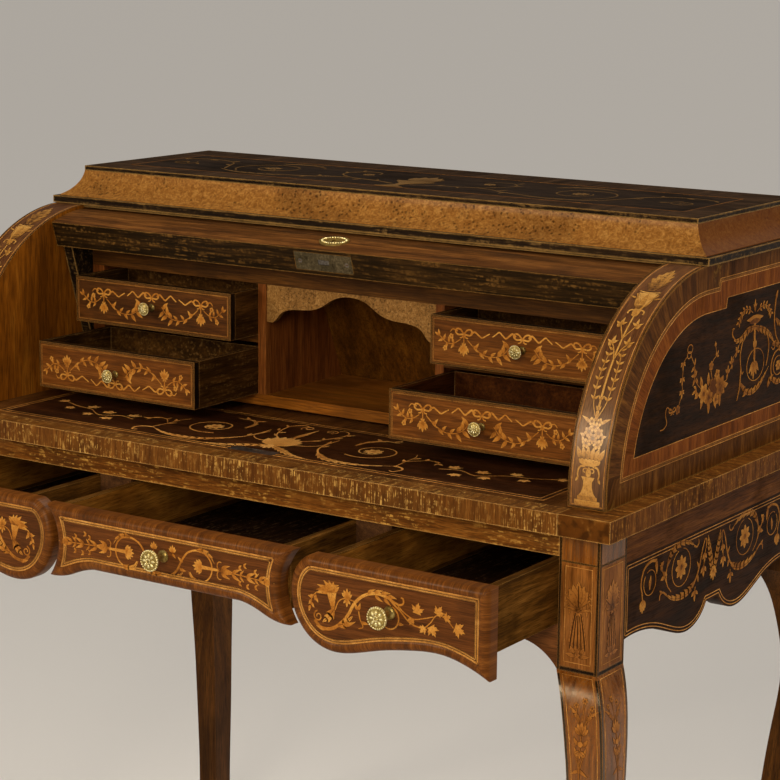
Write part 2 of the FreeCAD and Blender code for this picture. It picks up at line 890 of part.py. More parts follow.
def cheek(inner, outer):
    """A quarter-round cheek with a boss round its pin, notched over the lock rail."""
    half = "fall_half"
    quarter = sector("fall_inner - glue_line", half, "0", "cheek_span_degrees")
    boss = rod_along_x("cheek_boss_radius", f"-({half})", half, "pivot_y", "pivot_z")
    slab = board(
        inner,
        outer,
        "pivot_y - fall_radius",
        "pivot_y + fall_radius",
        "pivot_z - cheek_boss_radius - overrun",
        "pivot_z + fall_radius",
    )
    slice_of = document.addObject("Part::Common", "cheek")
    slice_of.Base = fuse(quarter, boss)
    slice_of.Tool = slab
    notch = cut(
        sector(
            "fall_radius",
            "fall_half + overrun",
            "-2 * lead_degrees",
            "lock_rail_degrees + 2 * lead_degrees",
        ),
        sector("lock_rail_inner - glue_line", "fall_half + 2 * overrun", "-90", "180"),
    )
    bore = rod_along_x(
        "pin_radius + pin_clear", f"{inner} - overrun", f"{outer} + overrun", "pivot_y", "pivot_z"
    )
    return cut(slice_of, notch, bore)


cheek_ends = (("-fall_half", "-cheek_inner"), ("cheek_inner", "fall_half"))
node("fall_cheeks", *[opened(cheek(*ends)) for ends in cheek_ends])

# Pins that the fall turns on, from inside each cheek into the end, and the pegs that it rests on.
pins = [rod_into_end("pin_radius", side, "cheek_inner", "pin_depth", *PIVOT) for side in (-1, 1)]
node("pivot_pins", *pins)
pegs = [rod_into_end("stop_radius", side, "cheek_inner", "stop_depth", *STOP) for side in (-1, 1)]
node("fall_stops", *pegs)

# Lock: a plate let into the leading edge with a slot for the bolt and two screws.
plate = board(
    "-lock_plate_width / 2",
    "lock_plate_width / 2",
    "lock_y - lock_plate_depth / 2",
    "lock_y + lock_plate_depth / 2",
    "lead_z",
    "lead_z + lock_plate_thickness",
)
plate_slot = board(
    "-bolt_width / 2 - bolt_clear",
    "bolt_width / 2 + bolt_clear",
    "lock_y - bolt_thickness / 2 - bolt_clear",
    "lock_y + bolt_thickness / 2 + bolt_clear",
    "lead_z - overrun",
    "lead_z + overrun",
)


def screw_head(x, radius):
    return rod(radius, "lock_plate_thickness", x, "lock_y", "lead_z", UP, 0)


screw_places = ("-screw_spacing / 2", "screw_spacing / 2")
plate = cut(plate, plate_slot, *[screw_head(x, "screw_radius") for x in screw_places])
node(
    "lock_plate",
    opened(plate),
    *[opened(screw_head(x, "screw_radius - pin_clear")) for x in screw_places],
)
node(
    "lock_bolt",
    opened(
        board(
            "-bolt_width / 2",
            "bolt_width / 2",
            "lock_y - bolt_thickness / 2",
            "lock_y + bolt_thickness / 2",
            "lead_z + bolt_clear",
            "lead_z + bolt_clear + bolt_length",
        )
    ),
)


def escutcheon():
    """The oval keyhole plate, bent to the fall's round face."""
    reach = size("fall_radius")
    pivot = point("0", "pivot_y", "pivot_z")
    lift = FreeCAD.Rotation(RIGHT, -size("escutcheon_degrees"))
    outward = lift.multVec(FreeCAD.Vector(0, -1, 0))
    oval = Part.Ellipse(FreeCAD.Vector(), size("escutcheon_width / 2"), size("escutcheon_height / 2"))
    prism = Part.Face(Part.Wire(oval.toShape())).extrude(UP * (2 * reach))
    hole = Part.makeCylinder(size("keyhole_radius"), 2 * reach)
    slot_width = size("keyhole_radius")
    corner = FreeCAD.Vector(-slot_width / 2, -size("keyhole_slot"), 0)
    slot = Part.makeBox(slot_width, size("keyhole_slot"), 2 * reach, corner)
    prism = prism.cut(hole.fuse(slot))
    aim = FreeCAD.Rotation(RIGHT, outward.cross(RIGHT), outward, "ZXY")
    prism.Placement = FreeCAD.Placement(pivot, aim)
    start = pivot - RIGHT * reach
    outer = Part.makeCylinder(reach + size("escutcheon_thickness"), 2 * reach, start, RIGHT)
    inner = Part.makeCylinder(reach, 2 * reach, start, RIGHT)
    shape = prism.common(outer.cut(inner)).Solids[0]
    node("keyhole_escutcheon", opened(solid(shape)))


escutcheon()

# Nest of drawers, carried on the board behind the slide.
node(
    "nest_base",
    board("-nest_half", "nest_half", "nest_y", "nest_base_back", "nest_under", "nest_floor"),
    board(
        "-nest_half",
        "nest_half",
        "nest_base_back - nest_bearer_depth",
        "nest_base_back",
        "table_height",
        "nest_under",
    ),
)


def upright(x0, x1):
    """An upright of the nest, with a back edge that leans forward towards the top."""
    corners = (
        point(x0, "nest_y", "nest_floor"),
        point(x0, "nest_floor_back", "nest_floor"),
        point(x0, "nest_top_back", "nest_ceiling"),
        point(x0, "nest_y", "nest_ceiling"),
    )
    edges = [line(a, b) for a, b in zip(corners, corners[1:] + corners[:1])]
    return solid(extruded(edges, RIGHT * size(f"({x1}) - ({x0})")))


node(
    "nest_uprights",
    upright("-nest_half", "-nest_bay_outer"),
    upright("-partition_outer", "-partition_inner"),
    upright("partition_inner", "partition_outer"),
    upright("nest_bay_outer", "nest_half"),
)
node(
    "nest_top",
    board(
        "-nest_half",
        "nest_half",
        "nest_y + nest_frieze_thickness",
        "nest_top_back",
        "nest_ceiling",
        "nest_ceiling + nest_board",
    ),
)
node(
    "nest_frieze",
    board(
        "-nest_half",
        "nest_half",
        "nest_y",
        "nest_y + nest_frieze_thickness",
        "nest_ceiling",
        "nest_ceiling + nest_frieze_height",
    ),
)
node(
    "drawer_dividers",
    *boards_both_sides(
        "partition_outer",
        "nest_bay_outer",
        "nest_y",
        "nest_floor_back - nest_lean * (divider_top - nest_floor)",
        "divider_under",
        "divider_top",
    ),
)


def nest_back():
    """The thin back of the nest, which follows the lean of the uprights."""
    low = point("-nest_half", "nest_floor_back", "nest_floor")
    high = point("-nest_half", "nest_top_back", "nest_ceiling")
    thick = FreeCAD.Vector(0, size("nest_back_thickness"), 0)
    corners = (low, low + thick, high + thick, high)
    edges = [line(a, b) for a, b in zip(corners, corners[1:] + corners[:1])]
    node("nest_back", solid(extruded(edges, RIGHT * size("2 * nest_half"))))


nest_back()


def pigeonhole_arch():
    """The shaped apron over the pigeonhole, between the two partitions."""
    half = size("partition_inner")
    face = size("nest_y + arch_setback")
    top = size("nest_ceiling")
    drop = size("arch_drop")

    def place(along_share, down_share):
        return FreeCAD.Vector(half * along_share, face, top - drop * down_share)

    edges = [line(place(-1, 0), place(1, 0))]
    swing = [(-x, y) for x, y in reversed(ARCH_SHARES)]
    swing += [(0, ARCH_MIDDLE_SHARE)] + list(ARCH_SHARES)
    swing = [(-ARCH_FOOT_SHARE, 1)] + swing + [(ARCH_FOOT_SHARE, 1)]
    edges.append(curve([place(x, y) for x, y in swing]))
    for hand in (-1, 1):
        edges.append(line(place(hand, 0), place(hand, 1)))
        edges.append(line(place(hand * ARCH_FOOT_SHARE, 1), place(hand, 1)))
    thick = FreeCAD.Vector(0, size("arch_thickness"), 0)
    node("pigeonhole_arch", solid(extruded(Part.__sortEdges__(edges), thick)))


pigeonhole_arch()


def knob(kind, x, y, z):
    """A turned brass knob: collar on the drawer front, stem and a flat disc."""
    collar = rod_to_front(f"{kind}_collar_radius", f"{kind}_collar", x, y, z)
    stem = rod_to_front(f"{kind}_stem_radius", f"{kind}_reach", x, y, z)
    disc = rod_to_front(f"{kind}_radius", f"{kind}_disc", x, f"{y} - {kind}_reach + {kind}_disc", z)
    return fuse(collar, stem, disc)


def drawer_box(x0, x1, y0, depth, z0, height, wall, bottom, recess):
    """Two sides, a back between them and a bottom, behind a drawer front."""
    back = f"{y0} + {depth}"
    top = f"{z0} + {height}"
    floor = f"{z0} + {recess} + {bottom}"
    return (
        board(x0, f"{x0} + {wall}", y0, back, z0, top),
        board(f"{x1} - {wall}", x1, y0, back, z0, top),
        board(f"{x0} + {wall}", f"{x1} - {wall}", f"{back} - {wall}", back, floor, top),
        board(f"{x0} + {wall}", f"{x1} - {wall}", y0, back, f"{z0} + {recess}", floor),
    )


def shaped_front(edges):
    """A drawer front of the given outline with its face edges rounded over."""
    block = extruded(Part.__sortEdges__(edges), FreeCAD.Vector(0, size("front_thickness"), 0))
    rim = [edge for edge in block.Edges if edge.BoundBox.YMax < size("run_clear")]
    return solid(block.makeFillet(size("front_edge_radius"), rim).Solids[0])


def frieze_drawer(name, x0, x1, opening, front, front_x, knob_x, knob_z):
    face = f"case_front - {opening} - front_thickness"
    node(f"{name}_drawer_front", seat(front, front_x, face, "drawer_top"))
    box = drawer_box(
        x0,
        x1,
        f"case_front - {opening}",
        "drawer_depth",
        "drawer_under",
        "drawer_height",
        "drawer_wall",
        "drawer_bottom",
        "bottom_recess",
    )
    node(f"{name}_drawer_box", *box)
    node(f"{name}_drawer_knob", knob("knob", knob_x, face, knob_z))


def centre_front():
    """The front of the centre drawer, with hollow ends beside the lobes of the other two."""
    half = size("centre_front_width / 2")
    height = size("centre_front_height")

    def place(along_share, down_share):
        return FreeCAD.Vector(half * along_share, 0, -height * down_share)

    edges = mirrored_edge(place, CENTRE_FLAT_SHARE, CENTRE_MIDDLE_SHARE, CENTRE_OGEE_SHARES)
    tip = CENTRE_OGEE_SHARES[-1]
    for hand in (-1, 1):
        points = [place(hand * along, down) for along, down in (tip,) + CENTRE_END_SHARES]
        edges.append(curve(points))
    edges.append(line(place(-1, 0), place(1, 0)))
    return shaped_front(edges)


def side_front(hand):
    """The front of a side drawer, from its end at the post to the lobe that points inward."""
    width = size("side_front_width")
    height = size("side_front_height")

    def place(along_share, down_share):
        return FreeCAD.Vector(-hand * width * (1 - along_share), 0, -height * down_share)

    tip = place(1, SIDE_TIP_SHARE)
    crown = place(SIDE_TOP_SHARE, 0)
    lower = [place(along, down) for along, down in SIDE_LOWER_SHARES + SIDE_LOBE_SHARES]
    edges = [
        line(crown, place(1, 0)),
        line(place(1, 0), tip),
        curve([tip] + lower + [crown]),
    ]
    return shaped_front(edges)


centre_half = "muntin_inner - drawer_side_gap"
centre_knob_z = f"drawer_top - centre_front_height * {CENTRE_KNOB_HEIGHT_SHARE}"
middle_x = "0"
frieze_drawer(
    "centre",
    f"-({centre_half})",
    centre_half,
    "open_centre",
    centre_front(),
    middle_x,
    middle_x,
    centre_knob_z,
)
side_x0 = "muntin_outer + drawer_side_gap"
side_x1 = "post_inner - drawer_side_gap"
side_front_x = "post_inner - front_post_gap"
side_knob_x = f"{side_front_x} - side_front_width * {1 - SIDE_KNOB_SHARE}"
side_knob_z = f"drawer_top - side_front_height * {SIDE_KNOB_HEIGHT_SHARE}"
frieze_drawer(
    "left",
    f"-({side_x1})",
    f"-({side_x0})",
    "open_left",
    side_front(-1),
    f"-({side_front_x})",
    f"-({side_knob_x})",
    side_knob_z,
)
frieze_drawer(
    "right",
    side_x0,
    side_x1,
    "open_right",
    side_front(1),
    side_front_x,
    side_knob_x,
    side_knob_z,
)


def small_drawer(level, hand, floor, depth):
    """A small drawer of the nest: square front, box behind it and a small knob."""
    opening = f"open_{level}_{hand}"
    inner = "partition_outer + small_gap"
    outer = "nest_bay_outer - small_gap"
    x0, x1 = (inner, outer) if hand == "right" else (f"-({outer})", f"-({inner})")
    z0 = f"{floor} + small_rest"
    face = f"nest_y - {opening}"
    name = f"{level}_{hand}"
    front = board(x0, x1, face, f"{face} + small_front_thickness", z0, f"{z0} + small_height")
    node(f"{name}_small_front", front)
    box = drawer_box(
        x0,
        x1,
        f"{face} + small_front_thickness",
        f"{depth} - small_front_thickness",
        z0,
        "small_height",
        "small_wall",
        "small_bottom",
        "small_rest",
    )
    node(f"{name}_small_box", *box)
    middle = f"(({x0}) + ({x1})) / 2"
    node(f"{name}_small_knob", knob("small_knob", middle, face, f"{z0} + small_height / 2"))


for hand in ("left", "right"):
    small_drawer("upper", hand, "divider_top", "upper_depth")
    small_drawer("lower", hand, "nest_floor", "lower_depth")

document.recompute()
for thing in document.Objects:
    if "Invalid" in thing.State or "Error" in thing.State:
        raise RuntimeError(f"{thing.Label} did not build: {thing.State}")
for thing in nodes:
    if thing.Shape.isNull() or not thing.Shape.isValid():
        raise RuntimeError(f"{thing.Label} has no valid shape")
os.makedirs("parts", exist_ok=True)
for thing in nodes:
    thing.Shape.exportStep(f"parts/{thing.Label}.step")
print(f"{len(nodes)} sub-parts")
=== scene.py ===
import math

import bmesh
import bpy
import numpy as np
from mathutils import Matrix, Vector, geometry
from mathutils.bvhtree import BVHTree


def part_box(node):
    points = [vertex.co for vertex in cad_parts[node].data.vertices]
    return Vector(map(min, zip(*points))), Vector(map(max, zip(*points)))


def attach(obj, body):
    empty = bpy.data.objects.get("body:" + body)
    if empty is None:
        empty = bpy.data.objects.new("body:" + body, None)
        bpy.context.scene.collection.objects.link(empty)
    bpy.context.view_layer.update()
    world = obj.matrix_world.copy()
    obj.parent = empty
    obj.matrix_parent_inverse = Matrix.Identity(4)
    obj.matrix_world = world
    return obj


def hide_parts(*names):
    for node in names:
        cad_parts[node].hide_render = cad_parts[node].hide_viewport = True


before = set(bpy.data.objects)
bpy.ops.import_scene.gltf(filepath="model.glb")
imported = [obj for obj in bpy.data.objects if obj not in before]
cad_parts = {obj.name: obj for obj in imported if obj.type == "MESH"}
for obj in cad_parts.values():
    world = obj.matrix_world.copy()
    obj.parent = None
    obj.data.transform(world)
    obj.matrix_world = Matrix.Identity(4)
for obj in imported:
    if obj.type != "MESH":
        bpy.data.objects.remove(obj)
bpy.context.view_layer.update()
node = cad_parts

# ---------------------------------------------------------------------------------------------------------------------
# Legs. Four cabriole legs, each sawn from one stick of walnut with the square post of the frame at its top. The posts
# are tenoned to the aprons, and their outer faces carry a framed panel of arabesques between ebony corner strips.
# ---------------------------------------------------------------------------------------------------------------------


def dye(red, green, blue):
    """A colour as the eye reads it, 0 to 255, as the light that it gives back."""
    return (*(((c / 255 + 0.055) / 1.055) ** 2.4 if c > 10 else c / 255 / 12.92 for c in (red, green, blue)), 1.0)


class Wire:
    """One value on its way through the nodes of a finish. Sums and products of it add Math nodes."""

    def __init__(self, tree, socket=None):
        self.tree, self.socket = tree, socket

    def put(self, kind, settings=None, sockets=None, out=0):
        made = self.tree.nodes.new(kind)
        for key, value in (settings or {}).items():
            if key == "stops":
                bar = made.color_ramp.elements
                while len(bar) < len(value):
                    bar.new(0.5)
                for stop, (at, colour) in zip(bar, value):
                    stop.position, stop.color = at, colour
            else:
                setattr(made, key, value)
        for key, value in (sockets or {}).items():
            if isinstance(value, Wire):
                self.tree.links.new(value.socket, made.inputs[key])
            else:
                made.inputs[key].default_value = value
        return Wire(self.tree, made.outputs[out])

    def reckon(self, operation, one, two):
        return self.put("ShaderNodeMath", {"operation": operation}, {0: one, 1: two})

    def __add__(self, other):
        return self.reckon("ADD", self, other)

    def __radd__(self, other):
        return self.reckon("ADD", other, self)

    def __sub__(self, other):
        return self.reckon("SUBTRACT", self, other)

    def __rsub__(self, other):
        return self.reckon("SUBTRACT", other, self)

    def __mul__(self, other):
        return self.reckon("MULTIPLY", self, other)

    def __rmul__(self, other):
        return self.reckon("MULTIPLY", other, self)

    def between(self, low, high):
        """0 below low, 1 above high and smooth between them."""
        ease = {"interpolation_type": "SMOOTHSTEP"}
        return self.put("ShaderNodeMapRange", ease, {"Value": self, "From Min": low, "From Max": high})

    def speckle(self, spread, detail=4.0, rough=0.6, twist=0.0):
        """Noise over this place, with so many spots to the metre along each direction."""
        place = self.put("ShaderNodeMapping", None, {"Vector": self, "Scale": spread})
        noise = {"Vector": place, "Scale": 1.0, "Detail": detail, "Roughness": rough, "Distortion": twist}
        return self.put("ShaderNodeTexNoise", None, noise)

    def stained(self, colour, amount):
        """This colour with another one over it."""
        return self.put("ShaderNodeMix", {"data_type": "RGBA"}, {0: amount, 6: self, 7: colour}, 2)


def rubbed(root, place, edge):
    """How far the polish is worn off here: most on sharp edges, in patches."""
    flat = root.put("ShaderNodeNewGeometry", out="Normal")
    eased = root.put("ShaderNodeBevel", {"samples": 4}, {"Radius": edge})
    away = 1 - root.put("ShaderNodeVectorMath", {"operation": "DOT_PRODUCT"}, {0: flat, 1: eased}, "Value")
    return (away * 1.7 + place.speckle((60, 60, 60), 6.0, 0.7) * 1.4 - 0.98).between(0.0, 0.3)


def polish(tree, colour, gloss, dents, shine, coat, metal=0.0):
    """Ends a finish: its colour, roughness and fine relief, under old shellac with a weak warm sheen."""
    shader = tree.nodes["Principled BSDF"].inputs
    for label, wire in (("Base Color", colour), ("Roughness", gloss), ("Normal", dents)):
        tree.links.new(wire.socket, shader[label])
    shader["Metallic"].default_value = metal
    shader["Specular IOR Level"].default_value = shine
    shader["Specular Tint"].default_value = (1.0, 0.78, 0.5, 1.0)
    shader["Coat Weight"].default_value = coat
    shader["Coat Roughness"].default_value = 0.2


def wood(
    name, deep, mid, pale, pore, lie, rough=0.38, coat=0.04, dirt=0.4, worn=None, wear=0.5, edge=0.0016,
    uv=None, twist=0.7, fleck=None, eyes=None, bare=None, shine=0.09, metal=0.0, slot=None,
):
    """A polished wood or metal, by the dark, middle and light of its figure and by its pores, each 0 to 255. lie is
    how often the figure changes to the metre along X, Y and Z, least along the grain."""
    finish = bpy.data.materials.new(name)
    finish.use_nodes = True
    if slot:
        finish["slot"] = slot
    tree = finish.node_tree
    root = Wire(tree)
    place = root.put("ShaderNodeUVMap", {"uv_map": uv}) if uv else root.put("ShaderNodeTexCoord", out="Object")
    lie = Vector(lie)
    deep, mid, pale, pore = (dye(*c) for c in (deep, mid, pale, pore))
    figure = place.speckle(lie, 5.0, 0.62, twist)
    stripe = place.speckle(lie * 5.3, 3.0, 0.55)
    fibre = place.speckle(Vector(c * 22 if c > max(lie) / 2 else c * 9 for c in lie), 2.0, 0.5)
    cloud = place.speckle((11, 11, 11), 4.0, 0.58)
    tone = figure * 0.62 + stripe * 0.38
    colour = tone.put("ShaderNodeValToRGB", {"stops": [(0.37, deep), (0.5, mid), (0.64, pale)]}, {0: tone})
    pores = 1 - fibre.between(0.36, 0.52)
    grime = cloud.between(0.48, 0.68)
    colour = colour.stained(pore, pores * 0.55).stained(pore, grime * dirt)
    if eyes:
        stir = root.put("ShaderNodeTexNoise", None, {"Vector": place, "Scale": 60.0}, "Color")
        stir = root.put("ShaderNodeVectorMath", {"operation": "SCALE"}, {0: stir, "Scale": 0.008})
        swirl = root.put("ShaderNodeVectorMath", {"operation": "ADD"}, {0: place, 1: stir})
        spots = root.put("ShaderNodeTexVoronoi", None, {"Vector": swirl, "Scale": eyes}, "Distance")
        colour = colour.stained(pore, (1 - spots.between(0.14, 0.4)) * cloud.between(0.34, 0.62) * 0.85)
    if fleck:
        thin = stripe.between(0.48, 0.62) * place.speckle((170, 170, 170), 3.0, 0.6).between(0.46, 0.6)
        colour = colour.stained(dye(*fleck), thin * cloud.between(0.3, 0.6) * 0.7)
    if bare:
        patch = place.speckle((9, 9, 9), 6.0, 0.7).between(0.58, 0.68)
        colour = colour.stained(dye(*bare), patch * (0.3 + fibre * 0.6))
    if worn:
        colour = colour.stained(dye(*worn), rubbed(root, place, edge) * wear)
    gloss = rough + (stripe - 0.5) * 0.18 + grime * 0.16 + pores * 0.1
    height = fibre * 0.6 + figure * 0.5
    dents = root.put("ShaderNodeBump", None, {"Strength": 0.14, "Distance": 0.0006, "Height": height})
    polish(tree, colour, gloss, dents, shine, coat, metal)
    return finish


def clad(finish, *names):
    """Gives CAD pieces their finish."""
    for name in names:
        if not node[name].material_slots:
            node[name].data.materials.append(finish)
        for slot in node[name].material_slots:
            slot.material = finish


def marquetry(name, burnt, mid, light, pore, shine=0.09):
    """Small cut veneers, each of its own tone, burnt in hot sand at one end and scratched with a graver."""
    finish = bpy.data.materials.new(name)
    finish.use_nodes = True
    tree = finish.node_tree
    root = Wire(tree)
    place = root.put("ShaderNodeTexCoord", out="Object")
    burnt, mid, light, pore = (dye(*c) for c in (burnt, mid, light, pore))
    tone = root.put("ShaderNodeAttribute", {"attribute_name": "tone"}, out="Fac")
    figure = place.speckle((150, 150, 150), 3.0, 0.6, 0.5)
    fibre = place.speckle((900, 900, 500), 2.0, 0.5)
    age = place.speckle((24, 24, 24), 3.0, 0.6)
    cast = tone + (figure - 0.5) * 0.55 + (age - 0.5) * 0.7
    colour = cast.put("ShaderNodeValToRGB", {"stops": [(0.12, burnt), (0.45, mid), (0.85, light)]}, {0: cast})
    scratch = 1 - fibre.between(0.34, 0.46)
    colour = colour.stained(pore, scratch * 0.5)
    gloss = 0.34 + (figure - 0.5) * 0.2 + scratch * 0.15
    dents = root.put("ShaderNodeBump", None, {"Strength": 0.12, "Distance": 0.0004, "Height": figure + fibre * 0.5})
    polish(tree, colour, gloss, dents, shine, shine * 0.4)
    return finish


# Marquetry is drawn flat, in millimetres. A shape is its left edge, right edge, tone from start to end and whether it
# closes on itself; a plate has no right edge, only an outline.


def soft_line(points, ring=False, steps=5):
    """A soft line through points."""
    points = [Vector(p) for p in points]
    if len(points) < 3 and not ring:
        return [points[0].lerp(points[1], i / steps) for i in range(steps + 1)]
    line, count = [], len(points)
    for i in range(count if ring else count - 1):
        if ring:
            a, b, c, d = (points[(i + k) % count] for k in (-1, 0, 1, 2))
        else:
            b, c = points[i], points[i + 1]
            a, d = (points[i - 1] if i else 2 * b - c), (points[i + 2] if i + 2 < count else 2 * c - b)
        for k in range(steps):
            t = k / steps
            line.append(
                0.5 * (2 * b + (c - a) * t + (2 * a - 5 * b + 4 * c - d) * t * t + (3 * b - a - 3 * c + d) * t**3)
            )
    return line if ring else [*line, points[-1]]


def strand(points, wide, narrow=None, tone=(0.5, 0.5), ring=False, steps=5):
    """A stem or ribbon along a soft line, from one width to another."""
    line = soft_line(points, ring, steps)
    narrow = wide if narrow is None else narrow
    left, right, last = [], [], len(line) - 1
    for i, p in enumerate(line):
        ahead = line[(i + 1) % len(line)] if ring else line[min(i + 1, last)]
        along = (ahead - (line[i - 1] if ring or i else p)).normalized()
        side = Vector((-along.y, along.x)) * (wide + (narrow - wide) * i / last) / 2
        left.append(p + side)
        right.append(p - side)
    return (left, right, tone, ring)


def leaf(x, y, turn, long, wide, bend=0.0, tone=(0.3, 0.7), rows=5, full=0.75):
    """A pointed leaf from x, y along turn, in degrees. Its end bends to the left by a share of its length."""
    along = Vector((math.cos(math.radians(turn)), math.sin(math.radians(turn))))
    side = Vector((-along.y, along.x))
    left, right = [], []
    for i in range(rows + 1):
        t = i / rows
        middle = Vector((x, y)) + along * long * t + side * bend * long * t * t
        half = wide / 2 * max(0.07, math.sin(math.pi * t**full))
        left.append(middle + side * half)
        right.append(middle - side * half)
    return (left, right, tone, False)


def disc(x, y, radius, tone=0.5, sides=10):
    """A round plate."""
    turn = 2 * math.pi / sides
    return (
        [Vector((x + radius * math.cos(turn * i), y + radius * math.sin(turn * i))) for i in range(sides)], None,
        tone, True,
    )


def flower(x, y, radius, petals=6, turn=0.0, tone=(0.35, 0.8)):
    """An open flower seen from the front."""
    wide = radius * 4.2 / petals
    whole = [leaf(x, y, turn + 360 * i / petals, radius, wide, tone=tone, rows=4, full=1.25) for i in range(petals)]
    return [*whole, disc(x, y, radius * 0.24, 0.2, 8)]


def fan(x, y, turn, radius, spread=150, rays=7, tone=(0.3, 0.75)):
    """A palmette: leaves spread like a fan, the middle one longest."""
    whole = []
    for i in range(rays):
        a = spread * (i / (rays - 1) - 0.5)
        whole.append(
            leaf(x, y, turn + a, radius * (1 - abs(a) / spread * 0.5), radius * 0.34, -a / spread * 0.3, tone, 4, 1.1)
        )
    return whole


def shaped(profile, tone=(0.5, 0.6)):
    """A turned shape seen from the side: half width and height, from below upwards."""
    return ([Vector((-w, y)) for w, y in profile], [Vector((w, y)) for w, y in profile], tone, False)


def moved(shapes, x=0.0, y=0.0, flip_x=False, flip_y=False):
    """Shapes set off by x and y, after being turned over left to right or top to bottom."""
    fx, fy = (-1 if flip_x else 1), (-1 if flip_y else 1)

    def at(edge):
        return None if edge is None else [Vector((x + fx * p[0], y + fy * p[1])) for p in edge]

    return [(at(left), at(right), tone, ring) for left, right, tone, ring in shapes]


def pair(shapes):
    """Shapes and their mirror image to the left."""
    return [*shapes, *moved(shapes, flip_x=True)]


def outlined(shapes, by=0.35):
    """Each shape over a dark one that is a little larger, like a cut filled with mastic."""
    whole = []
    for left, right, tone, ring in shapes:
        if right is None:
            middle = sum(left, Vector((0, 0))) / len(left)
            edges = ([p + (p - middle).normalized() * by for p in left], None)
        else:
            apart = [(a - b).normalized() * by for a, b in zip(left, right)]
            edges = ([a + d for a, d in zip(left, apart)], [b - d for b, d in zip(right, apart)])
        whole += [(*edges, (0.0, 0.0), ring), (left, right, tone, ring)]
    return whole


def face_seat(corner, across, up):
    """A flat face of the desk, by its corner in metres and its two directions: where x, y and height go to."""
    corner, across, up = Vector(corner), Vector(across) / 1000, Vector(up) / 1000
    out = across.cross(up) * 1000
    return lambda x, y, h: corner + across * x + up * y + out * h


def inlay(name, shapes, seat, body, finish, rise=0.12, sink=0.3, stack=0.4):
    """Cuts shapes of veneer, each a thin closed plate, and lays them in a face, the last higher by up to stack."""
    spots, faces, tones = [], [], []
    for number, (left, right, tone, ring) in enumerate(shapes):
        start, count, top = len(spots), len(left), rise + number * min(0.011, stack / len(shapes))
        if right is None:
            for h in (top, -sink):
                spots += [seat(p.x, p.y, h) for p in left]
            tones += [tone if isinstance(tone, float) else tone[0]] * (2 * count)
            faces += [tuple(range(start, start + count)), tuple(range(start + 2 * count - 1, start + count - 1, -1))]
            for i in range(count):
                j = (i + 1) % count
                faces.append((start + i, start + count + i, start + count + j, start + j))
            continue
        for i, (a, b) in enumerate(zip(left, right)):
            spots += [seat(a.x, a.y, top), seat(b.x, b.y, top), seat(b.x, b.y, -sink), seat(a.x, a.y, -sink)]
            tones += [tone[0] + (tone[1] - tone[0]) * i / (count - 1)] * 4
        for i in range(count if ring else count - 1):
            a, b = start + 4 * i, start + 4 * ((i + 1) % count)
            faces += [(a + k, b + k, b + (k + 1) % 4, a + (k + 1) % 4) for k in range(4)]
        if not ring:
            faces += [tuple(start + k for k in range(4)), tuple(start + 4 * count - 1 - k for k in range(4))]
    return laid(name, spots, faces, body, finish, tones)


def placed(name, mesh, body, finish, weld=None):
    """Turns the faces of a closed mesh outwards and puts it in its place on a body."""
    work = bmesh.new()
    work.from_mesh(mesh)
    if weld:
        bmesh.ops.remove_doubles(work, verts=work.verts, dist=weld)
    bmesh.ops.recalc_face_normals(work, faces=work.faces)
    work.to_mesh(mesh)
    work.free()
    if not mesh.materials:
        mesh.materials.append(finish)
    piece = bpy.data.objects.new(name, mesh)
    bpy.context.collection.objects.link(piece)
    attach(piece, body)
    return piece


def laid(name, spots, faces, body, finish, tones=None):
    """A closed mesh of these corners and faces, in its place on a body."""
    mesh = bpy.data.meshes.new(name)
    mesh.from_pydata(spots, [], faces)
    piece = placed(name, mesh, body, finish)
    if tones:
        mesh.attributes.new("tone", "FLOAT", "POINT").data.foreach_set("value", tones)
    return piece


def node_tree(name, sizes):
    """A Geometry Nodes tree with these named inputs. Returns it, a function that adds a node, and its inputs."""
    tree = bpy.data.node_groups.new(name, "GeometryNodeTree")
    tree.interface.new_socket("Geometry", in_out="OUTPUT", socket_type="NodeSocketGeometry")
    tree.interface.new_socket("Geometry", in_out="INPUT", socket_type="NodeSocketGeometry")
    for label, value in sizes.items():
        made = tree.interface.new_socket(label, in_out="INPUT", socket_type="NodeSocketFloat")
        made.default_value = value
    tree.interface.new_socket("Finish", in_out="INPUT", socket_type="NodeSocketMaterial")

    def add(kind, settings=None, sockets=None):
        made = tree.nodes.new(kind)
        for key, value in (settings or {}).items():
            setattr(made, key, value)
        for key, value in (sockets or {}).items():
            if isinstance(value, bpy.types.NodeSocket):
                tree.links.new(value, made.inputs[key])
            else:
                made.inputs[key].default_value = value
        return made

    return tree, add, add("NodeGroupInput").outputs


def close_tree(add, source, shape):
    """Ends a tree: its copies become real and take the finish."""
    real = add("GeometryNodeRealizeInstances", None, {0: shape})
    done = add("GeometryNodeSetMaterial", None, {"Geometry": real.outputs[0], "Material": source["Finish"]})
    add("NodeGroupOutput", None, {0: done.outputs[0]})


# Stringing: a thin strip of wood, square in section, that follows a line.
stringing, add, given = node_tree("stringing", {"Width": 1.0, "Height": 0.5})
upright = add("GeometryNodeSetCurveNormal", {"mode": "Z_UP"}, {"Curve": given["Geometry"]})
section = add("GeometryNodeCurvePrimitiveQuadrilateral", None, {"Width": given["Width"], "Height": given["Height"]})
swept = add(
    "GeometryNodeCurveToMesh", None,
    {"Curve": upright.outputs[0], "Profile Curve": section.outputs[0], "Fill Caps": True},
)
close_tree(add, given, swept.outputs[0])
THIN = {"Width": 0.9, "Height": 0.6}  # the thinnest string, in millimetres


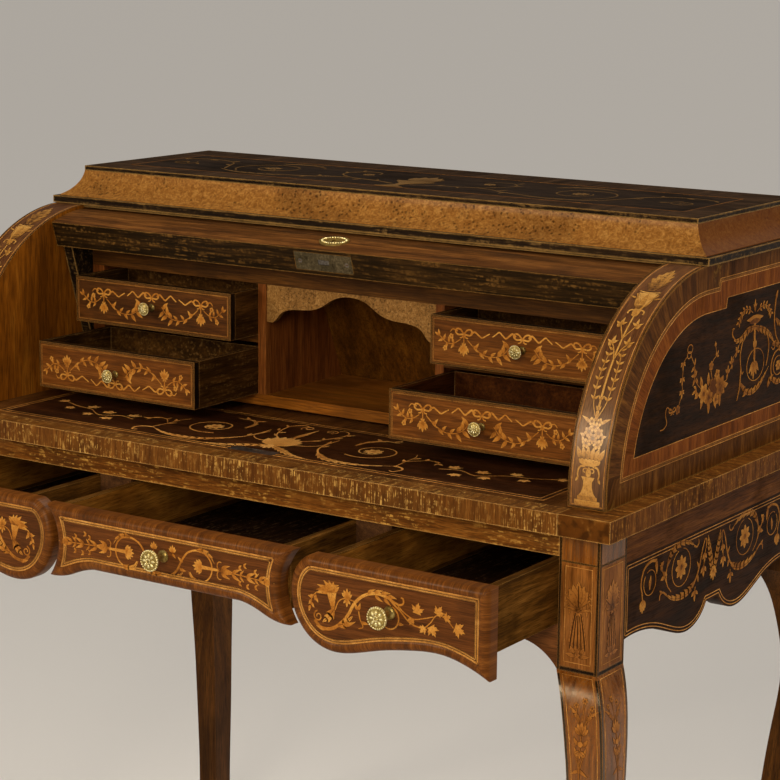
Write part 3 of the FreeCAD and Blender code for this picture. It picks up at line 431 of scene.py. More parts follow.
def grown(host, tree, sizes, finish):
    """Runs a tree on an object with these inputs and makes a plain mesh of it."""
    bpy.context.collection.objects.link(host)
    modifier = host.modifiers.new("run", "NODES")
    modifier.node_group = tree
    inputs = {s.name: s.identifier for s in tree.interface.items_tree if s.in_out == "INPUT"}
    for label, value in {**sizes, "Finish": finish}.items():
        modifier[inputs[label]] = value
    mesh = bpy.data.meshes.new_from_object(host.evaluated_get(bpy.context.evaluated_depsgraph_get()))
    host.modifiers.clear()
    bpy.data.objects.remove(host)
    return mesh


def along_lines(name, lines, tree, sizes, seat, body, finish, ring=False):
    """Runs a tree along flat lines, makes it a plain mesh and lays that in a face."""
    path = bpy.data.curves.new(name + "_path", "CURVE")
    path.dimensions = "3D"
    for line in lines:
        spline = path.splines.new("POLY")
        spline.points.add(len(line) - 1)
        spline.use_cyclic_u = ring
        for spot, p in zip(spline.points, line):
            spot.co = (p[0], p[1], 0.0, 1.0)
    mesh = grown(bpy.data.objects.new(name + "_path", path), tree, sizes, finish)
    mesh.name = name
    spots = [seat(v.co.x, v.co.y, v.co.z) for v in mesh.vertices]
    mesh.vertices.foreach_set("co", [c for p in spots for c in p])
    return placed(name, mesh, body, finish, 1e-7)


def box_line(x0, y0, x1, y1):
    """The four corners of a frame."""
    return [(x0, y0), (x1, y0), (x1, y1), (x0, y1)]


def sheet(line):
    """A plate of veneer with this outline."""
    return ([Vector(p) for p in line], None, 0.5, True)


def panel(x0, y0, x1, y1):
    """A rectangle of veneer."""
    return sheet(box_line(x0, y0, x1, y1))


def strip(rows):
    """A strip of veneer that runs upwards, by height, left edge and right edge in each row."""
    return ([Vector((a, y)) for y, a, _ in rows], [Vector((b, y)) for y, _, b in rows], (0.5, 0.5), False)


LEGS = ("front_left_leg", "front_right_leg", "back_left_leg", "back_right_leg")
leg_walnut = wood(
    "leg_walnut", (86, 44, 11), (122, 68, 19), (156, 94, 33), (40, 20, 6), (45, 45, 3), rough=0.24,
    worn=(180, 122, 54), wear=0.35, shine=0.75,
)
clad(leg_walnut, *LEGS[:2])
# The back legs take a darker copy of the legs' walnut: painted shade, as the light falls off behind the desk.
shaded_back_leg_walnut = wood(
    "shaded_back_leg_walnut", (52, 28, 8), (74, 42, 12), (96, 58, 20), (28, 15, 5), (45, 45, 3), worn=(140, 96, 44),
    wear=0.25,
)
clad(shaded_back_leg_walnut, *LEGS[2:])
ebony = wood(
    "ebony", (15, 10, 6), (26, 17, 10), (44, 29, 16), (7, 5, 4), (40, 40, 6), rough=0.3, worn=(172, 118, 54),
    wear=0.7, edge=0.0024, shine=0.06, coat=0.0, slot="ebonised",
)
post_veneer = wood(
    "post_veneer", (96, 54, 18), (132, 78, 29), (158, 100, 44), (56, 30, 10), (70, 70, 6), slot="walnut"
)
post_satin = marquetry("post_satin", (56, 28, 8), (146, 89, 34), (176, 114, 48), (60, 32, 10))
boxwood = wood("boxwood", (150, 98, 40), (188, 128, 58), (214, 156, 82), (96, 58, 22), (60, 60, 60), dirt=0.5)

arabesque = [
    shaped([(11.5, 14), (11.5, 17)]),
    shaped([(9.8, 23), (7.8, 40), (5.6, 54), (3.4, 66)], (0.42, 0.62)),
    *pair(
        [
            leaf(2, 15, 15, 14, 5, -0.1),
            leaf(2, 19, 32, 12, 4.6, 0.3),
            *[leaf(9 - i * 1.5, 30 + i * 9, 55, 6.5, 2.8, 0.4) for i in range(4)],
            strand([(3, 78), (9, 92), (13.5, 90), (14, 78), (11, 72)], 1.1, 0.7),
            *[leaf(13, 88 - 7 * i, 300, 6, 2.4, 0.3) for i in range(3)],
            leaf(11, 72, 260, 9, 3.4, 0.2),
            leaf(2.5, 68, 40, 12, 3.8, -0.5),
            leaf(2.5, 72, 62, 17, 4.2, -0.4),
            strand([(9.8, 24), (7.8, 40), (5.6, 54), (3.4, 66)], 0.7, 0.5, (0.0, 0.05)),
            strand([(5, 25), (3.8, 44), (2.0, 63)], 0.6, 0.4, (0.0, 0.05)),
        ]
    ),
    strand([(0, 25), (0, 64)], 0.6, 0.4, (0.0, 0.05)),
    *fan(0, 73, 90, 30, 80, 5),
    strand([(0, 74), (0, 98)], 0.6, 0.4, (0.0, 0.05)),
    disc(0, 70, 2.8, 0.3),
]

# The posts in metres: lower end, outer face, middle and inner face along X, front and rear faces along Y.
POST_FOOT, POST_FACE, POST_MIDDLE, POST_INNER = 0.5825, 0.5, 0.474, 0.448
FRONT_POST, BACK_POST = (-0.21398, -0.15198), (0.30798, 0.36998)
POST_CORNER = 3.8  # width of the ebony corners in millimetres
for name in LEGS:
    side, back = (1 if "right" in name else -1), "back" in name
    front_y, rear_y = BACK_POST if back else FRONT_POST
    seats = {}
    if not back:
        seats["front"] = (
            face_seat((POST_INNER if side > 0 else -POST_FACE, front_y, POST_FOOT), (1, 0, 0), (0, 0, 1)), 52.0
        )
    start = front_y if side > 0 else rear_y
    seats["side"] = (face_seat((POST_FACE * side, start, POST_FOOT), (0, side, 0), (0, 0, 1)), 62.0)
    for word, (seat, wide) in seats.items():
        label = f"{name}_{word}"
        left, right = POST_CORNER, wide - POST_CORNER
        inlay(label + "_panel", [panel(left, 6, right, 126)], seat, "carcase", post_veneer, 0.08)
        strips = [(0.15, 0.3, left, 161.5), (right, 0.3, wide - 0.15, 161.5)]
        strips += [(left, 0.3, right, 5.5), (left, 126.5, right, 129)]
        inlay(label + "_ebony", [panel(*s) for s in strips], seat, "carcase", ebony, 0.1)
        frame_line = box_line(9, 11.5, wide - 9, 122.5)
        along_lines(label + "_string", [frame_line], stringing, THIN, seat, "carcase", boxwood, True)
        inlay(label + "_arabesque", outlined(moved(arabesque, wide / 2, 4)), seat, "carcase", post_satin)


def on_surface(name, corner, across, up):
    """A bowed face of a CAD piece, seen square on: x and y go to where they meet it, and h out of it."""
    piece, corner, across, up = node[name], Vector(corner), Vector(across) / 1000, Vector(up) / 1000
    out = across.cross(up).normalized()
    spots = [piece.matrix_world @ v.co for v in piece.data.vertices]
    skin = BVHTree.FromPolygons(spots, [p.vertices for p in piece.data.polygons])

    def meet(x, y):
        return skin.ray_cast(corner + across * x + up * y + out * 0.5, -out)

    def seat(x, y, h):
        spot, normal, *_ = meet(x, y)
        return corner + across * x + up * y if spot is None else spot + normal * (h / 1000)

    def reach(y, low, high):
        """The stretch of the face between its corners at this height."""
        found = []
        for x in np.arange(low, high, 0.5):
            spot, normal, *_ = meet(x, y)
            if spot is not None and normal.dot(out) > 0.78:
                found.append(x)
        return found[0], found[-1]

    return seat, reach


polished_ebony = wood(
    "polished_ebony", (15, 10, 6), (26, 17, 10), (44, 29, 16), (7, 5, 4), (40, 40, 6), rough=0.2, worn=(172, 118, 54),
    wear=0.5, shine=0.8, slot="ebonised",
)
knee_spray = [
    *pair(
        [
            leaf(3, -52, 62, 22, 5, -0.3),
            *flower(10, -34, 3.4, 5),
            strand([(0, -62), (6, -48), (10, -36)], 1.2, 0.8),
            strand([(0, -110), (3, -96), (7, -84)], 1.2, 0.8),
            leaf(2, -92, 50, 13, 4.5, 0.3),
            leaf(2, -78, 35, 11, 4.5, 0.3),
            leaf(1, -104, 230, 14, 4.5, -0.3),
        ]
    ),
    *flower(0, -28, 4, 6),
    strand([(0, -130), (0, -32)], 1.4, 1.0),
    *fan(0, -66, 90, 16, 110, 5),
    *fan(0, -84, 270, 9, 150, 5),
    disc(0, -76, 3.4, 0.7),
]
KNEE_CORNER, KNEE_FRAME = 3.2, 6.5  # how far the ebony corners and the frame line reach in from the edges
for name in LEGS:
    side, back = (1 if "right" in name else -1), "back" in name
    middle_y = sum(BACK_POST if back else FRONT_POST) / 2
    faces = {"outer": on_surface(name, (POST_FACE * side, middle_y, POST_FOOT), (0, side, 0), (0, 0, 1))}
    if not back:
        faces["front"] = on_surface(name, (POST_MIDDLE * side, FRONT_POST[0], POST_FOOT), (1, 0, 0), (0, 0, 1))
    for word, (seat, reach) in faces.items():
        heights = np.concatenate([np.arange(-3.0, -60, -6.0), np.arange(-62.0, -500, -12.0)])
        spans = [(y, *reach(y, -70, 70)) for y in heights]
        label = f"{name}_{word}"
        corner_strips = [
            strip([(y, a, a + KNEE_CORNER) for y, a, _ in spans]),
            strip([(y, b - KNEE_CORNER, b) for y, _, b in spans]),
        ]
        inlay(label + "_corners", corner_strips, seat, "carcase", polished_ebony, 0.12, 0.2)
        frame_line = [(a + KNEE_FRAME, y) for y, a, _ in spans]
        frame_line += [(b - KNEE_FRAME, y) for y, _, b in reversed(spans)]
        along_lines(
            label + "_line", [frame_line], stringing, {"Width": 0.9, "Height": 0.5}, seat, "carcase", boxwood, True
        )
        _, a, b = spans[8]
        inlay(label + "_spray", outlined(moved(knee_spray, (a + b) / 2, 2)), seat, "carcase", post_satin, 0.12, 0.25)


# ---------------------------------------------------------------------------------------------------------------------
# Aprons. Boards sawn to shape and tenoned between the posts. The side ones are veneered with dark rosewood, banded in
# walnut under the table and inlaid with scrolling leaves. The back one is plain.
# ---------------------------------------------------------------------------------------------------------------------


def rim(name, axis, far):
    """The outline of a CAD piece's flat face at its far or near end along an axis, in millimetres."""
    work = bmesh.new()
    work.from_mesh(node[name].data)
    work.transform(node[name].matrix_world)
    bmesh.ops.remove_doubles(work, verts=work.verts, dist=1e-6)
    limit = (max if far else min)(v.co[axis] for v in work.verts)
    face = {f for f in work.faces if all(abs(v.co[axis] - limit) < 2e-5 for v in f.verts)}
    nearby = {}
    for a, b in (e.verts for e in work.edges if sum(f in face for f in e.link_faces) == 1):
        nearby.setdefault(a, []).append(b)
        nearby.setdefault(b, []).append(a)
    loops, seen = [], set()
    for first in nearby:
        if first in seen:
            continue
        loop, here = [], first
        while here and here not in seen:
            seen.add(here)
            loop.append(here)
            here = next((v for v in nearby[here] if v not in seen), None)
        loops.append(loop)
    keep = [a for a in range(3) if a != axis]
    lines = [np.array([[v.co[a] * 1000 for a in keep] for v in loop]) for loop in loops]
    work.free()
    line = max(lines, key=lambda p: np.ptp(p, 0).sum())
    turn = np.roll(line, -1, 0)
    area = (line[:, 0] * turn[:, 1] - line[:, 1] * turn[:, 0]).sum()
    return fine(line if area > 0 else line[::-1])


def fine(line, step=2.0):
    """A closed line with a point at least every step."""
    spots = []
    for a, b in zip(line, np.roll(line, -1, 0)):
        count = max(1, int(np.hypot(*(b - a)) / step))
        spots += [a + (b - a) * i / count for i in range(count)]
    return np.array(spots)


def nearest(spots, line):
    """How far each spot is from a closed line, and how far along the line that is."""
    a, b = line, np.roll(line, -1, 0)
    run = np.hypot(*(b - a).T)
    begin = np.concatenate([[0], np.cumsum(run)[:-1]])
    gap, along = np.empty(len(spots)), np.empty(len(spots))
    for i, p in enumerate(spots):
        t = np.clip(((p - a) * (b - a)).sum(1) / np.maximum(run, 1e-9) ** 2, 0, 1)
        reach = np.hypot(*(a + (b - a) * t[:, None] - p).T)
        k = reach.argmin()
        gap[i], along[i] = reach[k], begin[k] + t[k] * run[k]
    return gap, along


def inset(line, by):
    """A closed line moved inwards, mitred at its corners."""
    along = np.roll(line, -1, 0) - line
    along = along / np.maximum(np.hypot(*along.T), 1e-9)[:, None]
    inward = np.stack([-along[:, 1], along[:, 0]], 1)
    lean = inward + np.roll(inward, 1, 0)
    lean = lean / np.maximum(np.hypot(*lean.T), 1e-9)[:, None]
    spots = line + lean * (by / np.maximum((lean * inward).sum(1), 0.3))[:, None]
    return spots[nearest(spots, line)[0] > abs(by) * 0.985 - 0.01]


def opposite(seat):
    """The same seat on the other side of the desk."""

    def place(x, y, h):
        p = seat(x, y, h)
        return Vector((-p.x, p.y, p.z))

    return place


def hoop(x, y, wide, tall, start, end, thick, thin=None, tone=(0.4, 0.65)):
    """A stem bent round x, y, from one direction to another, in degrees."""
    turns = [math.radians(start + (end - start) * i / 24) for i in range(25)]
    return strand([(x + wide * math.cos(a), y + tall * math.sin(a)) for a in turns], thick, thin, tone, steps=1)


def acanthus(points, size, sides=(1, -1), tone=(0.35, 0.7), count=6):
    """A long leaf of this width along a soft line, cut into lobes on one or both sides, with a scratched rib."""
    line = soft_line(points, steps=12)
    left, right, last = [], [], len(line) - 1
    for k in range(count):
        for part in (0.0, 0.4, 0.75, 0.97):
            t = (k + part) / count
            at = min(int(t * last), last - 1)
            along = (line[at + 1] - line[at]).normalized()
            middle = line[at].lerp(line[at + 1], t * last - at)
            half = size / 2 * max(0.06, math.sin(math.pi * (0.12 + 0.88 * t) ** 0.75))
            side = Vector((-along.y, along.x)) * half
            left.append(middle + side * ((0.5 + 0.6 * part) if 1 in sides else 0.4) + along * part * half * 0.5)
            right.append(middle - side * ((0.5 + 0.6 * part) if -1 in sides else 0.4) + along * part * half * 0.5)
    rib = strand(points, size * 0.07, size * 0.04, (0.0, 0.1), steps=4)
    return [(left, right, tone, False), rib]


apron_rosewood = wood(
    "apron_rosewood", (28, 14, 4), (43, 22, 7), (62, 34, 12), (14, 7, 3), (40, 4, 40), worn=(150, 100, 48), wear=0.3,
    shine=0.03, coat=0.0,
)
clad(apron_rosewood, "left_side_apron", "right_side_apron")
plain_walnut = wood("plain_walnut", (70, 38, 15), (98, 56, 24), (122, 74, 34), (40, 22, 10), (4, 40, 40))
clad(plain_walnut, "back_apron", "front_lower_rail", "case_back")
rail_walnut = wood(
    "rail_walnut", (78, 42, 12), (108, 62, 19), (136, 84, 30), (44, 24, 8), (8, 60, 60), worn=(206, 156, 82),
    wear=0.7, edge=0.004, fleck=(210, 156, 70),
)
clad(rail_walnut, "front_top_rail")
side_band = wood(
    "side_band", (66, 36, 14), (92, 52, 20), (120, 72, 30), (40, 22, 9), (40, 4, 50), shine=0.03, coat=0.0,
    slot="walnut",
)

side_satin = marquetry("side_satin", (84, 44, 11), (146, 90, 29), (188, 130, 55), (66, 35, 9), 0.03)
TABLE_TOP, APRON_FACE, APRON_MIDDLE = 0.770, 0.498, 0.078  # metres
FIELD_HALF, FIELD_TOP = 228, -71.5  # the dark field, in millimetres from the apron's middle and the table top
apron_seat = face_seat((APRON_FACE, APRON_MIDDLE, TABLE_TOP), (0, 1, 0), (0, 0, 1))
apron_line = rim("right_side_apron", 0, True) - [APRON_MIDDLE * 1000, TABLE_TOP * 1000]
field_line = [np.clip(apron_line[:, 0], -FIELD_HALF, FIELD_HALF), np.minimum(apron_line[:, 1], FIELD_TOP)]
field_line = fine(np.stack(field_line, 1))
apron_scrolls = [
    *pair(
        [
            hoop(87, -107, 24, 23, 100, 430, 1.0, 1.0),
            *flower(87, -107, 15, 8),
            *acanthus([(124, -97), (114, -83), (92, -76), (68, -80), (50, -89)], 13, (1,), count=8),
            strand([(54, -88), (47, -90.5), (42, -87), (43, -82)], 2.4, 1.2),
            strand([(122, -92), (126, -106), (123, -120), (112, -131)], 2.0, 1.2),
            *acanthus([(50, -134), (64, -142), (86, -144.5), (110, -140), (128, -130)], 15, (1,), count=8),
            strand([(124, -132), (133, -127), (140, -129), (141, -135)], 2.6, 1.4),
            leaf(136, -128, 60, 7, 4, -0.3),
            strand([(58, -139), (45, -128), (37, -113), (31, -96), (25, -86), (21, -88), (22, -98)], 2.8, 1.2),
            leaf(44, -126, 235, 10, 4, 0.3),
            leaf(40, -119, 80, 10, 3.6, -0.3),
            strand([(23, -98), (25, -106), (27, -120)], 1.0, 0.8),
            *fan(25, -103, 270, 12, 90, 3),
            *fan(27, -119, 270, 14, 100, 3),
            *acanthus([(2, -133), (8, -114), (14, -95), (17, -83)], 11, count=8),
            strand([(48, -140), (49, -147)], 1.2, 0.8),
            *fan(49, -145, 270, 13, 130, 3),
            strand([(184, -119), (189, -104), (182, -88), (166, -82), (151, -84)], 1.4, 4.0),
            leaf(153, -83, 250, 17, 6, 0.2),
            hoop(167, -107, 15, 15, 60, 400, 1.0, 1.0),
            leaf(166, -113, 75, 13, 6, 0.4),
            leaf(168, -107, 240, 8, 4, 0.4),
            strand([(186, -116), (184, -125)], 1.2, 1.0),
            *fan(183, -124, 275, 16, 90, 5),
            strand([(124, -118), (131, -108), (137, -98), (142, -92)], 1.4, 1.0),
            *[
                leaf(x, y, a, r, 5.5, b)
                for x, y, a, r, b in (
                    (136, -101, 60, 12, 0.2), (134, -104, 190, 11, 0.2), (140, -95, 130, 9, 0.1),
                    (131, -108, 330, 9, 0.2),
                )
            ],
        ]
    ),
    *fan(0, -128, 270, 15, 120, 5),
    *flower(0, -131, 7, 6),
]
for name, seat in (("right", apron_seat), ("left", opposite(apron_seat))):
    inlay(f"{name}_apron_band", [panel(-229.5, -70.5, 229.5, -26)], seat, "carcase", side_band, 0.06)
    lines = [inset(field_line, 3.0), inset(field_line, 7.0)]
    along_lines(
        f"{name}_apron_string", lines, stringing, {"Width": 1.1, "Height": 0.6}, seat, "carcase", boxwood, True
    )
    inlay(f"{name}_apron_scrolls", apron_scrolls, seat, "carcase", side_satin)

# ---------------------------------------------------------------------------------------------------------------------
# Inner frame. Partitions between the drawers, runners under them and bearers under the slide, all of plain brown wood
# without polish, fixed between the aprons.
# ---------------------------------------------------------------------------------------------------------------------
dry_wood = wood("dry_wood", (48, 28, 13), (68, 41, 20), (88, 56, 29), (28, 16, 8), (50, 4, 50), rough=0.62, coat=0.0)
clad(dry_wood, "drawer_partitions", "drawer_runners", "slide_bearers")

# ---------------------------------------------------------------------------------------------------------------------
# Table top. Two fixed ends and a rear board, banded across the grain and screwed down on the frame. The writing slide
# runs between them.
# ---------------------------------------------------------------------------------------------------------------------
cross_end = wood(
    "cross_end", (70, 37, 10), (96, 54, 16), (128, 78, 28), (36, 19, 6), (8, 90, 8), worn=(206, 156, 84), wear=0.8,
    edge=0.003, fleck=(160, 108, 44), shine=0.03, coat=0.0,
)
cross_front = wood(
    "cross_front", (78, 42, 12), (104, 61, 19), (132, 82, 30), (40, 21, 7), (110, 8, 8), worn=(214, 164, 92),
    wear=0.8, edge=0.003, fleck=(222, 172, 88),
)
clad(cross_end, "table_ends")
clad(cross_front, "table_rear_board", "slide_front_edge")

# ---------------------------------------------------------------------------------------------------------------------
# Writing slide. A board that pulls forward between the ends. A dark panel with scrolling leaves is let into its top,
# inside a string and a wide brown band, and a steel plate takes the bolt of the lock.
# ---------------------------------------------------------------------------------------------------------------------


def ivy(x, y, turn, size, tone=0.6):
    """A leaf of three lobes."""
    half = [
        (0, 1.0), (10, 0.7), (19, 0.78), (29, 0.46), (42, 0.62), (54, 0.92), (63, 0.62), (74, 0.66), (92, 0.36),
        (112, 0.56), (132, 0.3),
    ]
    spread = [*half, *((-a, r) for a, r in reversed(half[1:]))]
    turned = [(math.radians(turn + a), r * size) for a, r in spread]
    return ([Vector((x + r * math.cos(a), y + r * math.sin(a))) for a, r in turned], None, tone, True)


def scroll(x, y, radius, start, turns, wide, tone=(0.35, 0.65)):
    """A stem that winds inwards round x, y. It starts in the direction start; negative turns run clockwise."""
    points = []
    count = max(8, int(abs(turns) * 14))
    for i in range(count + 1):
        t = i / count
        a, r = math.radians(start) + turns * 2 * math.pi * t, radius * (1 - 0.72 * t**0.9)
        points.append((x + r * math.cos(a), y + r * math.sin(a)))
    return strand(points, wide, wide * 0.6, tone, steps=2)


slide_band = wood(
    "slide_band", (62, 34, 12), (90, 52, 20), (118, 74, 32), (36, 20, 8), (40, 6, 40), worn=(160, 112, 58), wear=0.4,
    shine=0.03, coat=0.0,
)
clad(slide_band, "slide_panel")
slide_dark = wood(
    "slide_dark", (38, 19, 9), (58, 30, 13), (82, 46, 21), (18, 9, 5), (6, 60, 60), rough=0.34, shine=0.03, coat=0.0,
    slot="dark_panel",
)
slide_satin = marquetry("slide_satin", (150, 88, 34), (212, 146, 68), (236, 180, 100), (110, 62, 24))
TABLE_FRONT, SLIDE_TOP = -0.23798, 0.7696  # metres
slide_seat = face_seat((0, TABLE_FRONT, SLIDE_TOP), (1, 0, 0), (0, 1, 0))
# The dark panel is cut out round the strike plate, and the strings end beside it.
STRIKE_HALF, STRIKE_END = 34.5, 61.2
wide, near, far = 412, 46, 218
slide_field = [(-STRIKE_HALF, near), (-STRIKE_HALF, STRIKE_END), (STRIKE_HALF, STRIKE_END), (STRIKE_HALF, near)]
slide_field += [(wide, near), (wide, far), (-wide, far), (-wide, near)]
inlay("slide_field", [sheet(slide_field)], slide_seat, "writing_slide", slide_dark, 0.08)
slide_lines = []
for wide, low, high in ((414, 44, 220), (407, 51, 213)):
    slide_lines.append(
        [(STRIKE_HALF, low), (wide, low), (wide, high), (-wide, high), (-wide, low), (-STRIKE_HALF, low)]
    )
along_lines(
    "slide_string", slide_lines, stringing, {"Width": 1.8, "Height": 0.5}, slide_seat, "writing_slide", boxwood
)
slide_scrolls = [
    *pair(
        [
            *acanthus([(72, 86), (94, 68), (120, 62), (152, 66), (188, 85)], 13, count=10),
            strand([(185, 84), (197, 82), (204, 73), (200, 60), (193, 62)], 3.4, 1.8),
            strand([(53, 160), (54, 128), (60, 104), (76, 82)], 1.8, 2.8),
            leaf(54, 134, 120, 14, 5, -0.2),
            leaf(57, 116, 60, 12, 4.6, 0.3),
            *acanthus([(4, 86), (26, 73), (50, 59), (82, 51)], 13, count=8),
            scroll(123, 133, 38, 235, 1.35, 2.2),
            *flower(123, 133, 13, 8),
            *acanthus([(86, 148), (90, 174), (106, 190), (128, 190)], 9, (1,), count=6),
            leaf(98, 186, 130, 13, 5, 0.2),
            leaf(114, 192, 60, 12, 5, -0.2),
            strand([(187, 86), (184, 112), (182, 136), (176, 150)], 1.6, 0.9),
            leaf(184, 110, 140, 13, 5, -0.2),
            leaf(183, 128, 40, 12, 4.4, 0.3),
            strand([(184, 112), (200, 130), (214, 134), (222, 126)], 1.4, 0.9),
            *[
                leaf(x, y, a, 10, 4.2, 0.2)
                for x, y, a in ((200, 130, 80), (212, 134, 330), (222, 126, 260), (222, 126, 320))
            ],
            strand([(236, 104), (262, 112), (290, 100), (320, 120), (350, 126), (380, 140)], 1.3, 0.9),
            *[
                ivy(x, y, a, s)
                for x, y, a, s in (
                    (248, 118, 90, 13), (268, 92, 270, 12), (288, 116, 80, 13), (304, 98, 290, 11),
                    (326, 130, 70, 12), (348, 114, 300, 11), (382, 140, 20, 11),
                )
            ],
            strand([(8, 118), (30, 140), (42, 170), (44, 192), (34, 205), (24, 202)], 2.2, 1.2),
            scroll(18, 193, 10, 300, 1.2, 1.5),
            strand([(16, 104), (38, 108), (52, 124), (48, 150)], 1.5, 0.9),
            *[
                leaf(x, y, a, 12, 4.2, b)
                for x, y, a, b in ((43, 162, 50, 0.2), (37, 150, 140, -0.2), (26, 136, 20, 0.3), (44, 186, 30, 0.2))
            ],
        ]
    ),
    *fan(0, 88, 90, 52, 100, 7),
    *fan(0, 84, 270, 14, 150, 5),
    leaf(0, 128, 90, 62, 7),
    disc(0, 86, 5, 0.7),
]
inlay("slide_scrolls", slide_scrolls, slide_seat, "writing_slide", slide_satin, 0.1, stack=0.25)
steel = wood(
    "steel", (96, 92, 86), (140, 134, 124), (176, 170, 158), (54, 46, 38), (60, 60, 60), rough=0.34, coat=0.0,
    metal=1.0, slot="steel",
)
clad(steel, "strike_plate")

# ---------------------------------------------------------------------------------------------------------------------
# Frieze drawers. Oak boxes, dark with age, behind shaped fronts of brown rosewood. A rounded moulding of cross-cut
# walnut runs round each front, then two strings, and leaves and scrolls of satinwood fill the middle.
# ---------------------------------------------------------------------------------------------------------------------


def inside(spots, line):
    """Which spots lie inside a closed line."""
    a, b = line, np.roll(line, -1, 0)
    found = []
    for x, y in spots:
        cross = (a[:, 1] > y) != (b[:, 1] > y)
        at = a[:, 0] + (y - a[:, 1]) / np.where(b[:, 1] == a[:, 1], 1, b[:, 1] - a[:, 1]) * (b[:, 0] - a[:, 0])
        found.append((cross & (x < at)).sum() % 2 == 1)
    return np.array(found)


def band(name, loops, seat, body, finish, sink=0.4):
    """A closed band between lines with their heights, outermost first. Its UV runs along the outer line and across."""
    outer, inner = loops[0][0], loops[-1][0]
    spots = np.concatenate([line for line, _ in loops])
    heights = np.concatenate([[h] * len(line) for line, h in loops])
    edges, start = [], 0
    for line, _ in loops:
        edges += [(start + i, start + (i + 1) % len(line)) for i in range(len(line))]
        start += len(line)
    flat, _, faces, source, *_ = geometry.delaunay_2d_cdt([Vector(p) for p in spots], edges, [], 0, 1e-4)
    flat = np.array([tuple(p) for p in flat])
    height = np.array([heights[s[0]] if s else 0.0 for s in source])
    middle = np.array([flat[list(f)].mean(0) for f in faces])
    keep = inside(middle, outer) & ~inside(middle, inner)
    faces = [tuple(f) for f, k in zip(faces, keep) if k]
    used = sorted({i for f in faces for i in f})
    at = {i: n for n, i in enumerate(used)}
    count = len(used)
    faces = [tuple(at[i] for i in f) for f in faces]
    gap, along = nearest(flat[used], outer)
    sides = {}
    for f in faces:
        for a, b in zip(f, f[1:] + f[:1]):
            sides[(a, b)] = sides.get((a, b), 0) + 1
    walls = [(b, a, a + count, b + count) for a, b in sides if (b, a) not in sides]
    body_faces = faces + [tuple(i + count for i in reversed(f)) for f in faces] + walls
    places = [seat(*flat[i], height[i]) for i in used] + [seat(*flat[i], height[i] - sink) for i in used]
    piece = laid(name, places, body_faces, body, finish)
    mesh = piece.data
    layer = mesh.uv_layers.new(name="band")
    whole = np.hypot(*(outer - np.roll(outer, -1, 0)).T).sum()
    for polygon in mesh.polygons:
        runs = [along[mesh.loops[k].vertex_index % count] for k in polygon.loop_indices]
        for k, run in zip(polygon.loop_indices, runs):
            late = run + whole if max(runs) - run > whole / 2 else run
            layer.data[k].uv = (late / 1000, gap[mesh.loops[k].vertex_index % count] / 1000)
    return piece


front_rosewood = wood("front_rosewood", (64, 33, 11), (90, 49, 18), (112, 64, 26), (40, 20, 8), (5, 110, 110))
front_moulding = wood(
    "front_moulding", (72, 37, 10), (98, 53, 15), (130, 77, 28), (42, 21, 7), (150, 14, 14), uv="band", shine=0.12,
    slot="walnut",
)
box_oak = wood(
    "box_oak", (56, 34, 10), (88, 55, 17), (120, 79, 30), (28, 16, 5), (50, 5, 50), rough=0.55, coat=0.0,
    worn=(170, 128, 68), wear=0.6, shine=0.02,
)
# A lighter oak for the inner side walls of the frieze drawers: raw oak, and painted light as well, lighter than the
# box outside as if lit.
lit_raw_oak = wood(
    "lit_raw_oak", (110, 66, 19), (138, 87, 28), (164, 110, 42), (60, 36, 11), (50, 5, 50), rough=0.6, coat=0.0,
    shine=0.03, slot="drawer_lining",
)
# A very dark oak with pale flecks, for the frieze drawers' bottoms: painted shade deep inside the drawers, with flecks
# of dust.
shaded_dusty_oak = wood(
    "shaded_dusty_oak", (28, 15, 6), (40, 22, 9), (54, 32, 14), (14, 8, 4), (50, 5, 50), rough=0.7, coat=0.0,
    fleck=(104, 80, 54), shine=0.02, slot="drawer_lining",
)
satinwood = marquetry("satinwood", (90, 46, 12), (164, 102, 35), (206, 148, 66), (80, 43, 12))
FRIEZE = ("left", "centre", "right")
clad(box_oak, *(f"{side}_drawer_box" for side in FRIEZE))
clad(front_rosewood, *(f"{side}_drawer_front" for side in FRIEZE))

centre_leaves = pair(
    [
        *fan(14, -29, 90, 9, 120, 5),
        leaf(14, -30, 300, 7, 3, 0.2),
        *acanthus([(3, -57), (12, -60), (22, -57), (30, -50)], 9, (1, -1), count=4),
        strand([(10, -58), (20, -50), (28, -36), (36, -26), (48, -21), (60, -22)], 2.8, 2.0, (0.3, 0.7)),
        leaf(30, -38, 165, 9, 4, -0.3),
        leaf(24, -46, 330, 10, 4, 0.3),
        hoop(55, -39.5, 17.5, 18, 95, -150, 2.2, 1.4),
        *acanthus([(50, -20.5), (60, -20), (70, -25), (76, -33)], 7, (1,), count=4),
        *acanthus([(62, -57), (54, -58.5), (44, -56), (38, -48)], 8, (1, -1), count=3),
        *fan(57, -39.5, 180, 13, 150, 7),
        strand([(57, -39.5), (84, -39.5)], 4.6, 2.6, (0.55, 0.75)),
        hoop(84, -34, 4, 5, 270, 60, 1.5, 1.0),
        hoop(84, -45, 4, 5, 90, 300, 1.5, 1.0),
        leaf(83, -39.5, 0, 22, 7.5, 0.0),
        leaf(86, -38, 48, 13, 4.6, -0.4),
        leaf(86, -41, -48, 13, 4.6, 0.4),
        strand([(98, -39.5), (122, -40.5), (152, -42)], 1.3, 0.9),
        *[
            leaf(x, -40.5, side * turn, size, size * 0.3, -side * 0.2)
            for x, turn, size in ((101, 40, 14), (113, 62, 9), (122, 36, 14), (134, 58, 9), (140, 34, 12))
            for side in (1, -1)
        ],
        *[
            leaf(x, y, a, 5.5, 2.6)
            for x, y in ((111, -31.5), (111, -50), (133, -33), (134, -51), (118, -28), (122, -52))
            for a in (40, -30)
        ],
        leaf(148, -41.8, 0, 14, 6.5),
        leaf(147, -41.6, 40, 9, 3.4),
        leaf(147, -42, -40, 9, 3.4),
    ]
)
